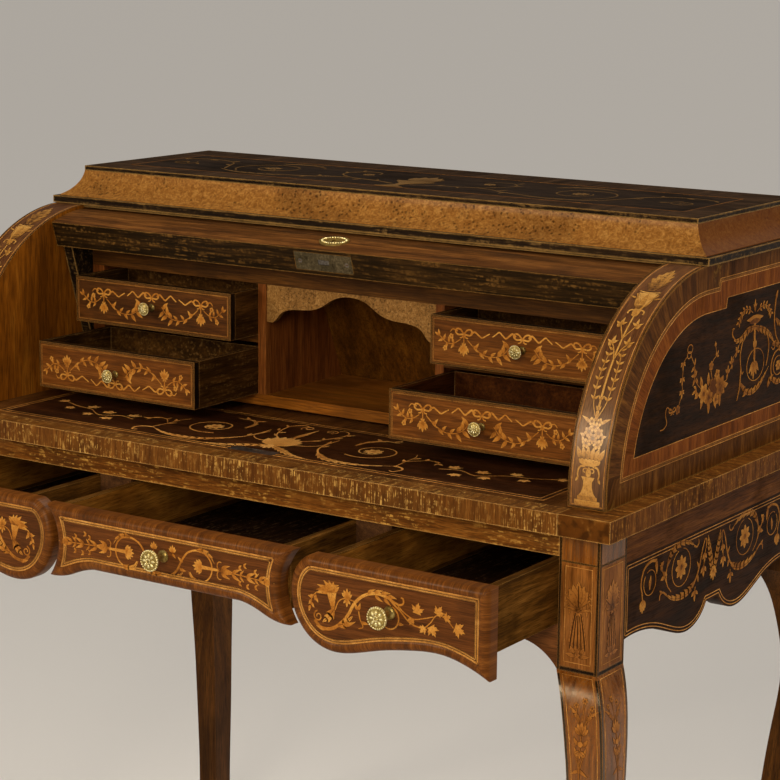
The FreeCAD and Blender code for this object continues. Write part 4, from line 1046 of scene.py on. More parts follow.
corner_leaves = [
    # for the right-hand drawer, in millimetres from the desk's middle and from the drawer's top edge
    *[
        leaf(245, -38, a, r, 6.4, b)
        for a, r, b in ((62, 11, -0.3), (84, 13, 0.1), (108, 15, 0.1), (130, 18, 0.1), (152, 22, 0.2), (172, 24, 0.3))
    ],
    leaf(222, -37.5, 12, 32, 7, 0.1, full=1.0),
    strand([(243, -38), (244, -48), (245, -58)], 13, 3.0, (0.7, 0.35)),
    strand([(224, -40), (217, -46), (214, -56)], 1.0, 0.7),
    *[
        leaf(x, y, a, 7.5, 3.4, 0.1)
        for x, y, a in (
            (222, -43, 250), (219, -45, 190), (216, -50, 230), (215, -53, 300), (214, -57, 250), (221, -46, 295),
            (218, -48, 160),
        )
    ],
    scroll(225, -68, 6.5, 100, 1.3, 1.8),
    strand(
        [
            (220, -73), (229, -80.5), (243, -79.5), (256, -71), (266, -59), (274, -45), (287, -33.5), (304, -28.5),
            (320, -31),
        ],
        4.0, 3.4, (0.35, 0.7),
    ),
    *[
        leaf(x, y, a, 11, 4.4, b)
        for x, y, a, b in (
            (292, -31, 60, -0.5), (301, -29, 50, -0.5), (310, -28.5, 40, -0.5), (318, -30, 25, -0.5),
            (302, -30, 300, 0.5), (314, -31, 290, 0.5),
        )
    ],
    strand([(316, -29.5), (326, -34), (334, -36.5), (339, -33.5), (338.5, -28.5), (335.5, -28)], 3.0, 1.4),
    strand([(320, -31), (328, -38), (334, -42)], 2.4, 1.6),
    hoop(321, -53, 12, 13, 75, -140, 2.0, 1.3),
    leaf(332, -57, 330, 7, 4, 0.4),
    *acanthus([(246, -57), (240, -66), (231, -74)], 12, (1, -1), count=3),
    *acanthus([(252, -74), (262, -70), (272, -60)], 11, (-1, 1), count=3),
    leaf(236, -81, 190, 13, 5, -0.3),
    leaf(258, -71, 345, 16, 6, 0.6),
    strand([(248, -57), (253, -46), (262, -41.5), (276, -43)], 1.4, 1.0),
    *fan(264, -41, 90, 11.5, 120, 5),
    *fan(264, -42, 270, 9, 100, 3),
    leaf(279, -52, 60, 9, 4, 0.2),
    leaf(279, -52, 130, 9, 4, -0.2),
    strand([(280, -53), (282, -62), (286, -70), (280, -73)], 1.6, 1.0),
    leaf(283, -64, 330, 10, 4.4, 0.4),
    strand([(332, -38), (342, -45), (353, -49), (366, -46), (378, -42)], 1.5, 1.0),
    strand([(334, -42), (348, -54), (364, -57), (374, -50), (382, -40), (394, -41), (404, -50)], 1.5, 1.0),
    *[
        ivy(x, y, a, s)
        for x, y, a, s in (
            (357, -40, 80, 11), (376, -55, 300, 11), (384, -37, 60, 10), (408, -50, 340, 12), (366, -57, 230, 8),
            (394, -41, 30, 8), (350, -50, 250, 7),
        )
    ],
]
BOX_WALL, PAST_WALL = 0.010, 10.5  # a box's wall in metres, and just inside of it in millimetres
for side in FRIEZE:
    low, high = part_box(f"{side}_drawer_front")
    seat = face_seat((0, low.y, high.z), (1, 0, 0), (0, 0, 1))
    line = rim(f"{side}_drawer_front", 1, True) - [0, high.z * 1000]
    body = f"{side}_drawer"
    profile = (
        (-0.16, -19), (-0.1, -6.9), (0.18, -5.2), (0.7, -3.6), (2, -1.75), (4, -0.2), (6.2, 0.9), (8.2, 1.2),
        (9.8, 0.8), (11.2, 0.1),
    )
    thumb = band(f"{side}_front_moulding", [(inset(line, d), h) for d, h in profile], seat, body, front_moulding, 0.8)
    thumb.data.shade_smooth()
    thumb.data.set_sharp_from_angle(angle=0.8)
    for word, lines, wide, finish in (
        ("wide", (12.5,), 2.0, boxwood),
        ("thin", (15.3,), 1.2, boxwood),
        ("dark", (14.1, 16.4), 0.8, ebony),
    ):
        strings = [inset(line, by) for by in lines]
        along_lines(
            f"{side}_front_{word}_line", strings, stringing, {"Width": wide, "Height": 0.6}, seat, body, finish, True
        )
    low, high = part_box(f"{side}_drawer_box")
    wide, deep, tall = (high.x - low.x) * 1000, (high.y - low.y) * 1000, (high.z - low.z) * 1000
    # Both inner side walls of each box get the lighter oak as a thin sheet: painted light on the drawer's insides.
    for word, x, y, way in (("left", low.x + BOX_WALL, low.y, 1), ("right", high.x - BOX_WALL, high.y, -1)):
        inner = face_seat((x, y, low.z), (0, way, 0), (0, 0, 1))
        start, end = (0.5, deep - PAST_WALL) if way > 0 else (PAST_WALL, deep - 0.5)
        inlay(f"{side}_drawer_{word}_lining", [panel(start, 14, end, tall - 1)], inner, body, lit_raw_oak, 0.1)
    # A dark sheet over each drawer's bottom, inside its walls: painted shade, with dust flecks.
    bed, _ = on_surface(f"{side}_drawer_box", low, (1, 0, 0), (0, 1, 0))
    bottom = panel(PAST_WALL, 0.5, wide - PAST_WALL, deep - PAST_WALL)
    inlay(f"{side}_drawer_bed", [bottom], bed, body, shaded_dusty_oak, 0.1)
    leaves = centre_leaves if side == "centre" else moved(corner_leaves, flip_x=side == "left")
    inlay(f"{side}_front_leaves", leaves, seat, body, satinwood)

# ---------------------------------------------------------------------------------------------------------------------
# Knobs. Each is cast in brass, a stem and a round head with a flower in a ring of beads, and is screwed through its
# drawer's front. The small drawers have the same knob, two thirds as large.
# ---------------------------------------------------------------------------------------------------------------------
brass = wood(
    "brass", (214, 194, 126), (238, 222, 160), (252, 244, 206), (120, 98, 50), (240, 240, 240), rough=0.28, coat=0.0,
    dirt=0.3, metal=0.75, slot="brass",
)
old_brass = wood(
    "old_brass", (120, 98, 44), (168, 142, 76), (206, 182, 114), (56, 42, 16), (240, 240, 240), rough=0.34, coat=0.0,
    dirt=0.5, metal=0.75, slot="brass",
)
beading, add, given = node_tree("beading", {"Beads": 24.0, "Radius": 1.0, "Bead": 0.1, "Stretch": 1.0})
ring = add("GeometryNodeMeshCircle", None, {"Vertices": given["Beads"], "Radius": given["Radius"]})
bead = add("GeometryNodeMeshUVSphere", None, {"Segments": 8, "Rings": 5, "Radius": given["Bead"]})
long = add("ShaderNodeCombineXYZ", None, {"X": given["Stretch"], "Y": 1.0, "Z": 1.0})
spot = add("GeometryNodeInputPosition")
aimed = add("FunctionNodeAlignEulerToVector", {"axis": "X"}, {"Vector": spot.outputs[0]})
strung = add(
    "GeometryNodeInstanceOnPoints", None, {
        "Points": ring.outputs[0], "Instance": bead.outputs[0], "Rotation": aimed.outputs[0], "Scale": long.outputs[0]
    }
)
close_tree(add, given, strung.outputs[0])


def bead_ring(count, radius, bead_size, stretch=1.0):
    """Beads in a ring round the middle, flat, in millimetres: their corners and faces."""
    host = bpy.data.objects.new("bead_ring", bpy.data.meshes.new("bead_ring"))
    sizes = {"Beads": count, "Radius": radius, "Bead": bead_size, "Stretch": stretch}
    mesh = grown(host, beading, {label: float(value) for label, value in sizes.items()}, brass)
    return [tuple(v.co) for v in mesh.vertices], [tuple(p.vertices) for p in mesh.polygons]


def turned(profile, sides=40):
    """A shape turned on a lathe: radius and height from the wall outwards, closed at both ends."""
    turns = [2 * math.pi * i / sides for i in range(sides)]
    spots = [(r * math.cos(a), r * math.sin(a), h) for r, h in profile for a in turns]
    faces = [tuple(range(sides - 1, -1, -1)), tuple(len(spots) - sides + i for i in range(sides))]
    for k in range(len(profile) - 1):
        for i in range(sides):
            j = (i + 1) % sides
            faces.append((k * sides + i, k * sides + j, (k + 1) * sides + j, (k + 1) * sides + i))
    return spots, faces


knob_parts = [
    (
        *turned(
            [
                (7.5, -0.4), (7.8, 0.8), (6.2, 2.2), (4.2, 3.4), (3.6, 8.0), (4.4, 14.0), (6.6, 18.0), (9.6, 20.5),
                (12.0, 22.2), (12.9, 23.6), (12.9, 25.2), (11.6, 26.4), (10.2, 26.2), (8.6, 26.6), (4.6, 27.6),
                (3.4, 27.8),
            ]
        ),
        0.0,
    ),
    (*bead_ring(26, 12.0, 1.35), 25.6),
    (*bead_ring(8, 6.4, 2.0, 1.6), 26.3),
    (*bead_ring(8, 2.7, 1.1), 28.0),
    (*bead_ring(1, 0.0, 2.0), 28.0),
]


def knob(drawer, size, body):
    """Puts a knob together, as large as it is needed, and sets it on its front in the plain one's place."""
    low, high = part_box(f"{drawer}_knob")
    middle = ((low.x + high.x) / 2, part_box(f"{drawer}_front")[0].y, (low.z + high.z) / 2)
    seat = face_seat(middle, (1, 0, 0), (0, 0, 1))
    spots, faces = [], []
    for corners, sides, lift in knob_parts:
        start = len(spots)
        spots += [seat(x * size, y * size, (h + lift) * size) for x, y, h in corners]
        faces += [tuple(start + i for i in f) for f in sides]
    piece = laid(f"{drawer}_rosette", spots, faces, body, old_brass)
    piece.data.materials.append(brass)
    plain = len(knob_parts[0][1])
    for polygon in piece.data.polygons:
        polygon.use_smooth = True
        polygon.material_index = int(polygon.index >= plain)
    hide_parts(f"{drawer}_knob")


for side in FRIEZE:
    knob(f"{side}_drawer", 1.0, f"{side}_drawer")

# ---------------------------------------------------------------------------------------------------------------------
# Quadrant ends. Thick boards with a quarter-round front, dowelled to the table's ends. Outside, a dark panel with a
# festoon lies in a brown band and a cross-cut border; the front edge carries a vase of flowers between ebony strips.
# ---------------------------------------------------------------------------------------------------------------------


def bow(x, y, size, tone=(0.45, 0.75)):
    """A ribbon tied in a bow, two loops, two short ends and a knot."""
    whole = [disc(x, y, size * 0.15, 0.4, 8)]
    for side in (1, -1):
        loop = [(0.08, 0.02), (0.38, 0.42), (0.82, 0.5), (1.0, 0.18), (0.72, -0.08), (0.36, -0.06)]
        whole.append(
            strand([(x + side * size * a, y + size * b) for a, b in loop], size * 0.17, tone=tone, ring=True)
        )
        end = [(0.05, -0.05), (0.24, -0.36), (0.5, -0.42)]
        whole.append(strand([(x + side * size * a, y + size * b) for a, b in end], size * 0.16, size * 0.1, tone))
    return whole


end_walnut = wood("end_walnut", (100, 54, 8), (132, 74, 14), (160, 98, 26), (64, 34, 6), (30, 30, 4))
clad(end_walnut, "left_quadrant_end", "right_quadrant_end")
end_border = wood(
    "end_border", (58, 32, 10), (86, 49, 16), (120, 75, 29), (30, 16, 6), (75, 7, 7), worn=(190, 148, 74), wear=0.6,
    edge=0.003, uv="band", bare=(160, 116, 48), shine=0.03, coat=0.0, slot="walnut",
)
end_band = wood(
    "end_band", (86, 42, 9), (114, 59, 15), (138, 78, 26), (56, 27, 7), (60, 6, 6), uv="band", shine=0.03, coat=0.0,
    slot="walnut",
)
end_dark = wood(
    "end_dark", (26, 13, 3), (41, 21, 6), (62, 34, 11), (13, 7, 2), (50, 7, 60), rough=0.36, shine=0.03, coat=0.0,
    slot="dark_panel",
)
strip_veneer = wood(
    "strip_veneer", (68, 37, 16), (92, 54, 26), (116, 74, 38), (46, 25, 11), (60, 8, 8), rough=0.34, shine=0.5,
    slot="rosewood",
)
strip_satin = marquetry("strip_satin", (72, 40, 13), (172, 118, 48), (208, 158, 82), (92, 56, 18), 0.5)

# A string of slanting ticks, side by side along a line.
rope, add, given = node_tree("rope", {"Pitch": 2.4, "Strand": 1.2, "Width": 2.2, "Height": 0.6, "Lean": 0.8})
dots = add("GeometryNodeCurveToPoints", {"mode": "LENGTH"}, {"Curve": given["Geometry"], "Length": given["Pitch"]})
size = add("ShaderNodeCombineXYZ", None, {"X": given["Strand"], "Y": given["Width"], "Z": given["Height"]})
block = add("GeometryNodeMeshCube", None, {"Size": size.outputs[0]})
facing = add("FunctionNodeAlignEulerToVector", {"axis": "X"}, {"Vector": dots.outputs["Tangent"]})
tilt = add("ShaderNodeCombineXYZ", None, {"Z": given["Lean"]})
leaning = add(
    "FunctionNodeRotateEuler", {"space": "LOCAL"}, {"Rotation": facing.outputs[0], "Rotate By": tilt.outputs[0]}
)
wound = add(
    "GeometryNodeInstanceOnPoints", None,
    {"Points": dots.outputs["Points"], "Instance": block.outputs[0], "Rotation": leaning.outputs[0]},
)
close_tree(add, given, wound.outputs[0])

PIVOT = (270.164, 12.6)  # of the fall, from the table's front edge and top


def end_line(radius, low, step, over, back):
    """A frame on the end: up the curve, a small step up behind it, along to the back and along the bottom."""
    begin = math.asin((low - PIVOT[1]) / radius)
    turns = np.linspace(begin, math.pi / 2, 40)
    curve = [(PIVOT[0] - radius * math.cos(a), PIVOT[1] + radius * math.sin(a)) for a in turns]
    line = [*curve, (step, curve[-1][1]), (step + 3, over), (back, over), (back, low)]
    return fine(np.array(line[::-1]), 4)


END_FACE = 0.5
end_seat = face_seat((END_FACE, TABLE_FRONT, TABLE_TOP), (0, 1, 0), (0, 0, 1))
end_rim = rim("right_quadrant_end", 0, True) - [TABLE_FRONT * 1000, TABLE_TOP * 1000]
border_line, field_edge = end_line(203, 31, 301, 226, 569), end_line(179, 50, 320, 204, 548)

swag_chain = [
    hoop(228, 155.5, 6.5, 5, 0, 360, 1.3, 1.3),
    hoop(226, 148.5, 5, 4, 0, 360, 1.2, 1.2),
    strand(
        [(223, 148), (215, 144), (211, 138), (211, 129), (210, 120), (211, 112), (210, 105), (206, 97), (201, 90)],
        1.1, 0.9,
    ),
    *[
        p
        for x, y in ((211, 142), (210, 124), (210, 109))
        for p in (*fan(x, y, 270, 10, 120, 3), leaf(x, y - 2, 20, 6, 3), leaf(x, y - 2, 160, 6, 3))
    ],
    *flower(201, 88, 6, 5, 30, (0.1, 0.4)),
    *bow(187, 88, 8),
    strand([(183, 90), (175, 95), (171, 92), (171, 85), (174, 76), (166, 71), (158, 71)], 1.4, 1.0),
    strand([(230, 148), (237, 139), (241, 133), (241, 123), (243, 117), (250, 110), (262, 102)], 1.1, 0.9),
    *[
        leaf(x, y, a, 9, 4, 0.2)
        for x, y, a in (
            (240, 134, 60), (241, 132, 200), (241, 130, 300), (242, 121, 160), (242, 120, 40), (243, 117, 220),
            (250, 110, 100),
        )
    ],
    strand([(318, 102), (329, 104), (330, 113), (341, 117), (341, 125), (354, 134)], 1.1, 0.9),
    *[
        p
        for x, y, a in ((330, 111, 80), (341, 121, 100), (354, 133, 60))
        for p in (*fan(x, y, a, 10, 120, 3), leaf(x, y, a + 180, 7, 4))
    ],
    strand([(290, 108), (284, 124), (290, 133), (298, 138), (295, 150)], 1.1, 0.7),
    *fan(295, 148, 95, 7, 60, 3),
    *fan(299, 136, 60, 8, 120, 3),
    *flower(285, 127, 6, 5, 10, (0.1, 0.45)),
    *flower(302, 114, 7, 5, 40),
]
swag_flowers = [
    *fan(248, 104, 200, 12, 130, 3),
    *[
        leaf(x, y, a, r, 7, b)
        for x, y, a, r, b in (
            (262, 104, 100, 15, 0.1), (279, 104, 92, 16, 0.0), (302, 100, 80, 14, 0.1), (266, 92, 235, 14, 0.2),
            (298, 86, 275, 13, 0.1), (309, 88, 285, 14, -0.1), (282, 84, 262, 14, 0.1), (321, 98, 350, 11, 0.2),
            (254, 98, 190, 11, 0.2),
        )
    ],
    *flower(292, 99, 14, 7, 20, (0.0, 0.35)),
    *flower(267, 96, 13, 6, 0),
    *flower(281, 89, 11, 6, 25, (0.2, 0.6)),
    *flower(312, 98, 14, 7, 10, (0.15, 0.55)),
    *flower(300, 84, 8, 5, 30),
]
candelabra = [
    leaf(401, 176, 90, 16, 4.5),
    leaf(401, 182, 40, 6, 3),
    leaf(401, 182, 140, 6, 3),
    leaf(379, 168, 0, 46, 9, full=1.0, tone=(0.6, 0.6)),
    leaf(386, 164.5, 0, 32, 8, full=1.0, tone=(0.15, 0.3)),
    strand([(402, 162), (403, 140), (405, 112)], 4.6, 3.4, (0.6, 0.45)),
    *fan(404, 130, 90, 14, 60, 3),
    leaf(404, 126, 270, 12, 5),
    *[leaf(404, 113, a, r, 8, b) for a, r, b in ((205, 17, 0.3), (335, 17, -0.3), (240, 17, 0.1), (300, 17, -0.1))],
    leaf(403, 108, 270, 16, 5),
    hoop(408, 110, 24.5, 20, 0, 360, 1.0, 1.0),
    *acanthus([(404, 158), (384, 157), (366, 149), (350, 148), (342, 154)], 13, (1,), count=7),
    strand([(346, 150), (340, 156), (341, 163), (345, 163)], 2.0, 1.2),
    *acanthus([(402, 158), (427, 152), (448, 142), (462, 128)], 13, (-1,), count=7),
    strand([(458, 132), (464, 126), (459, 121), (453, 125)], 2.0, 1.2),
    strand([(395, 176), (384, 181), (372, 182), (362, 177), (355, 168)], 1.0, 0.8),
    strand([(407, 176), (418, 180), (430, 181), (441, 176), (448, 168)], 1.0, 0.8),
    *[
        p
        for x, y, a in (
            (388, 180, 170), (380, 182, 178), (372, 182, 190), (365, 179, 215), (360, 174, 232), (356, 169, 242)
        )
        for p in (leaf(x, y, a - 50, 7, 3.2, 0.1), leaf(x, y, a + 55, 7, 3.2, -0.1))
    ],
    *[
        p
        for x, y, a in (
            (415, 179, 10), (423, 181, 2), (431, 181, -10), (438, 178, -35), (443, 173, -52), (447, 169, -62)
        )
        for p in (leaf(x, y, a - 50, 7, 3.2, 0.1), leaf(x, y, a + 55, 7, 3.2, -0.1))
    ],
    strand([(370, 146), (364, 130), (366, 114), (370, 104), (374, 106)], 1.8, 1.2),
    strand([(367, 110), (365, 88), (359, 73)], 2.4, 1.4),
    strand([(438, 146), (445, 130), (443, 114), (439, 104)], 1.8, 1.2),
    *acanthus([(367, 92), (383, 79), (401, 76), (420, 81), (434, 91), (447, 102)], 12, (1,), count=8),
    leaf(384, 79, 215, 10, 4, -0.2),
]
behind = [
    hoop(475, 99, 14, 12, 40, 380, 1.2, 1.2),
    hoop(475, 99, 21, 20, 250, 20, 2.4, 1.4),
    *flower(475, 99, 7, 6),
    strand([(461, 186), (458, 162), (464, 140), (476, 126)], 2.2, 1.4),
    *acanthus([(446, 76), (456, 84), (472, 77), (492, 80), (508, 96)], 12, (1,), count=7),
    *acanthus([(455, 128), (468, 126), (480, 118), (494, 118), (508, 132)], 11, (1,), count=6),
    *acanthus([(462, 160), (480, 152), (500, 156), (516, 172)], 11, (-1,), count=6),
    leaf(461, 184, 70, 12, 5),
    strand([(500, 90), (514, 104), (518, 122), (510, 138)], 1.6, 1.0),
    *[
        leaf(x, y, a, 11, 5, 0.2)
        for x, y, a in (
            (514, 104, 20), (518, 122, 60), (510, 138, 120), (516, 112, 330), (524, 150, 80), (506, 172, 40)
        )
    ],
    *flower(522, 86, 8, 6),
]
dull_string = wood("dull_string", (96, 56, 18), (130, 80, 30), (158, 104, 44), (58, 33, 11), (60, 60, 60))
STRIP_RADIUS, STRIP_INNER = 236.2, 0.451  # millimetres, and its inner edge along X in metres


def strip_seat(x, y, h):
    """Up the quarter-round front of the right-hand end: x across it and y along its curve from the table top."""
    a, r = math.asin(-PIVOT[1] / STRIP_RADIUS) + y / STRIP_RADIUS, STRIP_RADIUS + h
    back, up = PIVOT[0] - r * math.cos(a), PIVOT[1] + r * math.sin(a)
    return Vector((STRIP_INNER + x / 1000, TABLE_FRONT + back / 1000, TABLE_TOP + up / 1000))


vase_of_flowers = moved(
    [
        shaped([(16, 5), (16, 10.5)]),
        shaped([(12.5, 10.8), (12.5, 15)], (0.4, 0.4)),
        shaped([(11, 15.2), (8, 19), (5.6, 26), (5.6, 32), (8.4, 37)]),
        *pair(
            [
                scroll(4.6, 43.5, 4.4, 250, -1.0, 1.8),
                strand([(5, 49), (11, 47.5), (13.4, 41), (12.5, 35)], 2.4, 1.6), leaf(12.6, 36, 300, 6, 3),
            ]
        ),
        leaf(0, 36, 90, 13, 7, tone=(0.6, 0.4)),
        shaped([(6, 49), (12.5, 52), (13.6, 55), (13, 57)]),
        *[leaf(x, 56, 90 - x * 2.2, 15, 6.4, tone=(0.2, 0.7)) for x in (-11, -6.5, -2.2, 2.2, 6.5, 11)],
        *pair(
            [
                leaf(8, 72, 48, 12, 4.4, 0.3), leaf(6, 96, 50, 14, 4.4, -0.3), *flower(7, 74, 6, 6, 10),
                *flower(6, 87, 6.4, 6, 40, (0.2, 0.6)), leaf(10, 82, 20, 7, 4), *flower(4.6, 99, 5, 5),
            ]
        ),
        *flower(0, 80, 6.4, 7, 15, (0.2, 0.6)),
        *flower(0, 93, 6, 6),
        leaf(0, 100, 90, 16, 5),
        strand([(0, 100), (0, 140), (0, 190), (0, 236)], 2.8, 1.8, (0.5, 0.6)),
        *pair(
            [
                strand([(2.5, 106), (8, 122), (9.8, 148), (8.6, 172), (7, 182)], 1.1, 0.8),
                *[
                    leaf(x, y, 90 + s * 40, 7, 3, 0.12 * s)
                    for x, y in ((8.2, 124), (9.2, 136), (9.7, 147), (9.6, 158), (9.0, 168), (8.0, 178))
                    for s in (1, -1)
                ],
                *[leaf(0, y, 50, 6, 2.6, 0.2) for y in (112, 124)],
                strand([(0, 174), (5, 188), (10, 195)], 1.6, 1.2),
                strand([(0, 202), (6, 214), (10, 222)], 1.6, 1.2),
                *[
                    leaf(10, y + d, a, r, 4, b)
                    for y in (193, 220)
                    for d, a, r, b in ((0, 95, 13, 0.0), (0, 60, 9, -0.3), (1, 125, 8, 0.3), (-2, 30, 6, 0.2))
                ],
                leaf(5, 186, 15, 7, 3, 0.3),
                hoop(5.4, 242, 4.4, 4.4, 250, -30, 3.0, 1.8),
                strand([(3, 248), (5, 258), (9.5, 268), (13.6, 276)], 2.6, 1.8, (0.3, 0.5)),
                leaf(4, 250, 76, 26, 6.4, 0.0, (0.3, 0.75)),
                leaf(11, 266, 50, 9, 3.4, -0.5),
            ]
        ),
        shaped([(2.4, 236), (5, 242), (4.4, 247), (6, 256), (9, 268), (12, 278)], (0.35, 0.7)),
        leaf(0, 246, 90, 30, 7, tone=(0.2, 0.6)),
        leaf(-14, 281, 0, 28, 6.4, full=1.0, tone=(0.7, 0.7)),
        leaf(-11, 282, 0, 22, 3, full=1.0, tone=(0.1, 0.1)),
        *acanthus([(0, 284), (0, 302), (1, 322), (2, 340)], 25, count=5, tone=(0.3, 0.6)),
        *pair([leaf(2, 288 + 9 * i, 58, 13 - i, 5, 0.25, (0.2, 0.6)) for i in range(4)]),
    ],
    24.5,
)
for name, flip in (("right", lambda s: s), ("left", opposite)):
    seat, curve = flip(end_seat), flip(strip_seat)
    band(f"{name}_end_border", [(inset(end_rim, 0.6), 0.06), (border_line, 0.06)], seat, "carcase", end_border)
    band(f"{name}_end_band", [(border_line, 0.08), (field_edge, 0.08)], seat, "carcase", end_band)
    inlay(f"{name}_end_field", [sheet(field_edge)], seat, "carcase", end_dark, 0.06)
    lines = [inset(border_line, -3.2), inset(border_line, 1.2), field_edge]
    along_lines(f"{name}_end_string", lines, stringing, THIN, seat, "carcase", boxwood, True)
    ticks = {"Pitch": 3.2, "Strand": 1.1, "Width": 3.4, "Height": 0.4, "Lean": 0.8}
    along_lines(f"{name}_end_ticks", [inset(border_line, -1.0)], rope, ticks, seat, "carcase", dull_string, True)
    inlay(f"{name}_end_festoon", [*swag_chain, *swag_flowers, *candelabra, *behind], seat, "carcase", side_satin)
    rows = np.linspace(0.5, 381, 96)
    left, right = 2.6, 46.4
    inlay(f"{name}_strip_ground", [strip([(y, left, right) for y in rows])], curve, "carcase", strip_veneer, 0.06)
    edges = [strip([(y, a, b) for y in rows]) for a, b in ((0.1, left), (right, 48.9))]
    edges.append(strip([(y, left, right) for y in (0.4, 3.0)]))
    inlay(f"{name}_strip_edges", edges, curve, "carcase", ebony, 0.1)
    lines = [[(4.6, y) for y in rows[1:]], [(44.4, y) for y in rows[1:]], [(4.6, 4.4), (24, 4.4), (44.4, 4.4)]]
    along_lines(f"{name}_strip_string", lines, stringing, THIN, curve, "carcase", boxwood)
    inlay(f"{name}_strip_flowers", outlined(vase_of_flowers, 0.3), curve, "carcase", strip_satin)

# ---------------------------------------------------------------------------------------------------------------------
# Cornice. A cove of burr walnut between black fillets, fixed on a base over the ends. Its top is a dark panel with
# scrolls inside a cross-cut border.
# ---------------------------------------------------------------------------------------------------------------------
ebonised = wood(
    "ebonised", (17, 12, 8), (30, 20, 12), (46, 31, 18), (9, 6, 4), (5, 60, 60), rough=0.34, worn=(182, 138, 74),
    wear=0.85, edge=0.005, fleck=(112, 84, 46), shine=0.06, coat=0.0,
)
clad(ebonised, "cornice_base", "dust_strip", "cornice_top")
cove_burr = wood(
    "cove_burr", (124, 77, 29), (152, 101, 43), (182, 130, 64), (58, 31, 9), (60, 70, 70), twist=2.6, eyes=160.0
)
clad(cove_burr, "cornice_cove")
# Past the mitres, where x and y together are more than at the corner, the two returns are coloured darker and redder
# than the front.
MITRE_SUM, RETURN_HALF = 0.5256, 0.4729  # x and y together at the mitres, and the least half width, in metres
burr_tree = cove_burr.node_tree
burr_colour = burr_tree.nodes["Principled BSDF"].inputs["Base Color"]
root = Wire(burr_tree)
spot = root.put("ShaderNodeVectorMath", {"operation": "ABSOLUTE"}, {0: root.put("ShaderNodeTexCoord", out="Object")})
both, aside = (
    root.put("ShaderNodeVectorMath", {"operation": "DOT_PRODUCT"}, {0: spot, 1: way}, "Value")
    for way in ((1.0, 1.0, 0.0), (1.0, 0.0, 0.0))
)
returns = both.between(MITRE_SUM - 4e-4, MITRE_SUM + 4e-4) * aside.between(RETURN_HALF - 3e-4, RETURN_HALF + 3e-4)
darker_redder_returns = Wire(burr_tree, burr_colour.links[0].from_socket).stained(dye(80, 36, 8), returns * 0.78)
burr_tree.links.new(darker_redder_returns.socket, burr_colour)
top_border = wood(
    "top_border", (42, 27, 15), (60, 41, 24), (84, 60, 38), (22, 14, 8), (60, 6, 6), uv="band", shine=0.03, coat=0.0,
    slot="walnut",
)
top_dark = wood(
    "top_dark", (28, 18, 10), (44, 30, 18), (62, 44, 28), (13, 9, 7), (6, 60, 60), rough=0.34, shine=0.03, coat=0.0,
    slot="dark_panel",
)
cornice_seat = face_seat((0, TABLE_FRONT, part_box("cornice_top")[1].z), (1, 0, 0), (0, 1, 0))
cornice_rim = rim("cornice_top", 2, True) - [0, TABLE_FRONT * 1000]
cornice_box = (-430, 338, 430, 504)
cornice_field = fine(np.array(box_line(*cornice_box), float), 6)
band("cornice_border", [(inset(cornice_rim, 4.0), 0.06), (cornice_field, 0.06)], cornice_seat, "carcase", top_border)
inlay("cornice_field", [panel(*cornice_box)], cornice_seat, "carcase", top_dark, 0.06)
along_lines(
    "cornice_string", [cornice_field], stringing, {"Width": 1.4, "Height": 0.5}, cornice_seat, "carcase", dull_string,
    True,
)
cornice_scrolls = [
    *pair(
        [
            strand(
                [(14, 372), (46, 386), (96, 398), (128, 424), (130, 452), (112, 470), (92, 466), (84, 448)], 3.0, 1.6
            ),
            *flower(96, 440, 9, 6),
            *[
                leaf(x, y, a, 14, 5, b)
                for x, y, a, b in (
                    (46, 386, 50, 0.2), (74, 392, 320, -0.2), (110, 408, 20, 0.3), (131, 440, 40, 0.2),
                    (122, 466, 60, 0.2),
                )
            ],
            strand([(100, 399), (126, 392), (150, 378), (184, 367)], 2.2, 2.8),
            leaf(140, 384, 70, 16, 6, -0.2),
            leaf(156, 375, 260, 13, 5, 0.2),
            *acanthus([(180, 368), (214, 357), (246, 356), (278, 364), (308, 383)], 11, (1,), count=9),
            scroll(243, 421, 56, 300, 1.25, 2.4),
            *flower(243, 421, 12, 8),
            *acanthus([(184, 462), (208, 482), (238, 487), (268, 478)], 9, (1,), count=6),
            strand([(300, 384), (314, 412), (330, 444), (358, 464), (392, 467), (414, 460)], 2.2, 1.2),
            *[
                leaf(x, y, a, 13, 5, b)
                for x, y, a, b in (
                    (318, 420, 10, 0.3), (342, 454, 100, 0.2), (372, 466, 320, 0.2), (414, 460, 300, 0.2)
                )
            ],
            scroll(394, 412, 20, 120, 1.2, 1.7),
            leaf(374, 412, 200, 13, 5, 0.2),
        ]
    ),
    shaped([(22, 342), (9, 352), (5, 366), (9, 382), (26, 402), (29, 410)]),
    *fan(0, 408, 90, 56, 80, 5),
]
worn_satin = marquetry("worn_satin", (66, 44, 20), (108, 78, 40), (140, 104, 58), (48, 32, 15), 0.03)
inlay("cornice_scrolls", cornice_scrolls, cornice_seat, "carcase", worn_satin)

# ---------------------------------------------------------------------------------------------------------------------
# Fall. A quarter cylinder of staves, veneered, with an ebonised lock rail along its leading edge. It turns on two pins
# in the ends and rests on stops. The lock's bolt comes out of a plate in the rail, and a key hole opens in its face.
# ---------------------------------------------------------------------------------------------------------------------
fall_veneer = wood("fall_veneer", (58, 33, 12), (92, 54, 21), (136, 86, 38), (34, 19, 7), (4, 70, 70), slot="walnut")
clad(fall_veneer, "fall_shell")
clad(ebonised, "fall_cheeks")
rail_black = wood(
    "rail_black", (20, 12, 4), (36, 23, 8), (66, 43, 17), (10, 6, 2), (4, 60, 60), worn=(170, 122, 58), wear=0.75,
    edge=0.003, fleck=(112, 78, 35),
)
clad(rail_black, "fall_lock_rail")
clad(steel, "pivot_pins", "fall_stops", "lock_bolt")
plate_metal = wood(
    "plate_metal", (74, 64, 44), (104, 92, 66), (140, 124, 92), (40, 32, 20), (90, 90, 90), rough=0.4, coat=0.0,
    metal=0.8,
)
clad(plate_metal, "lock_plate")
clad(old_brass, "keyhole_escutcheon")
PLATE_HALF, SCREWS = 0.0008, (-36, 36)  # half the plate's thickness in metres, its screws in millimetres
plate_faces = node["lock_plate"].data.polygons
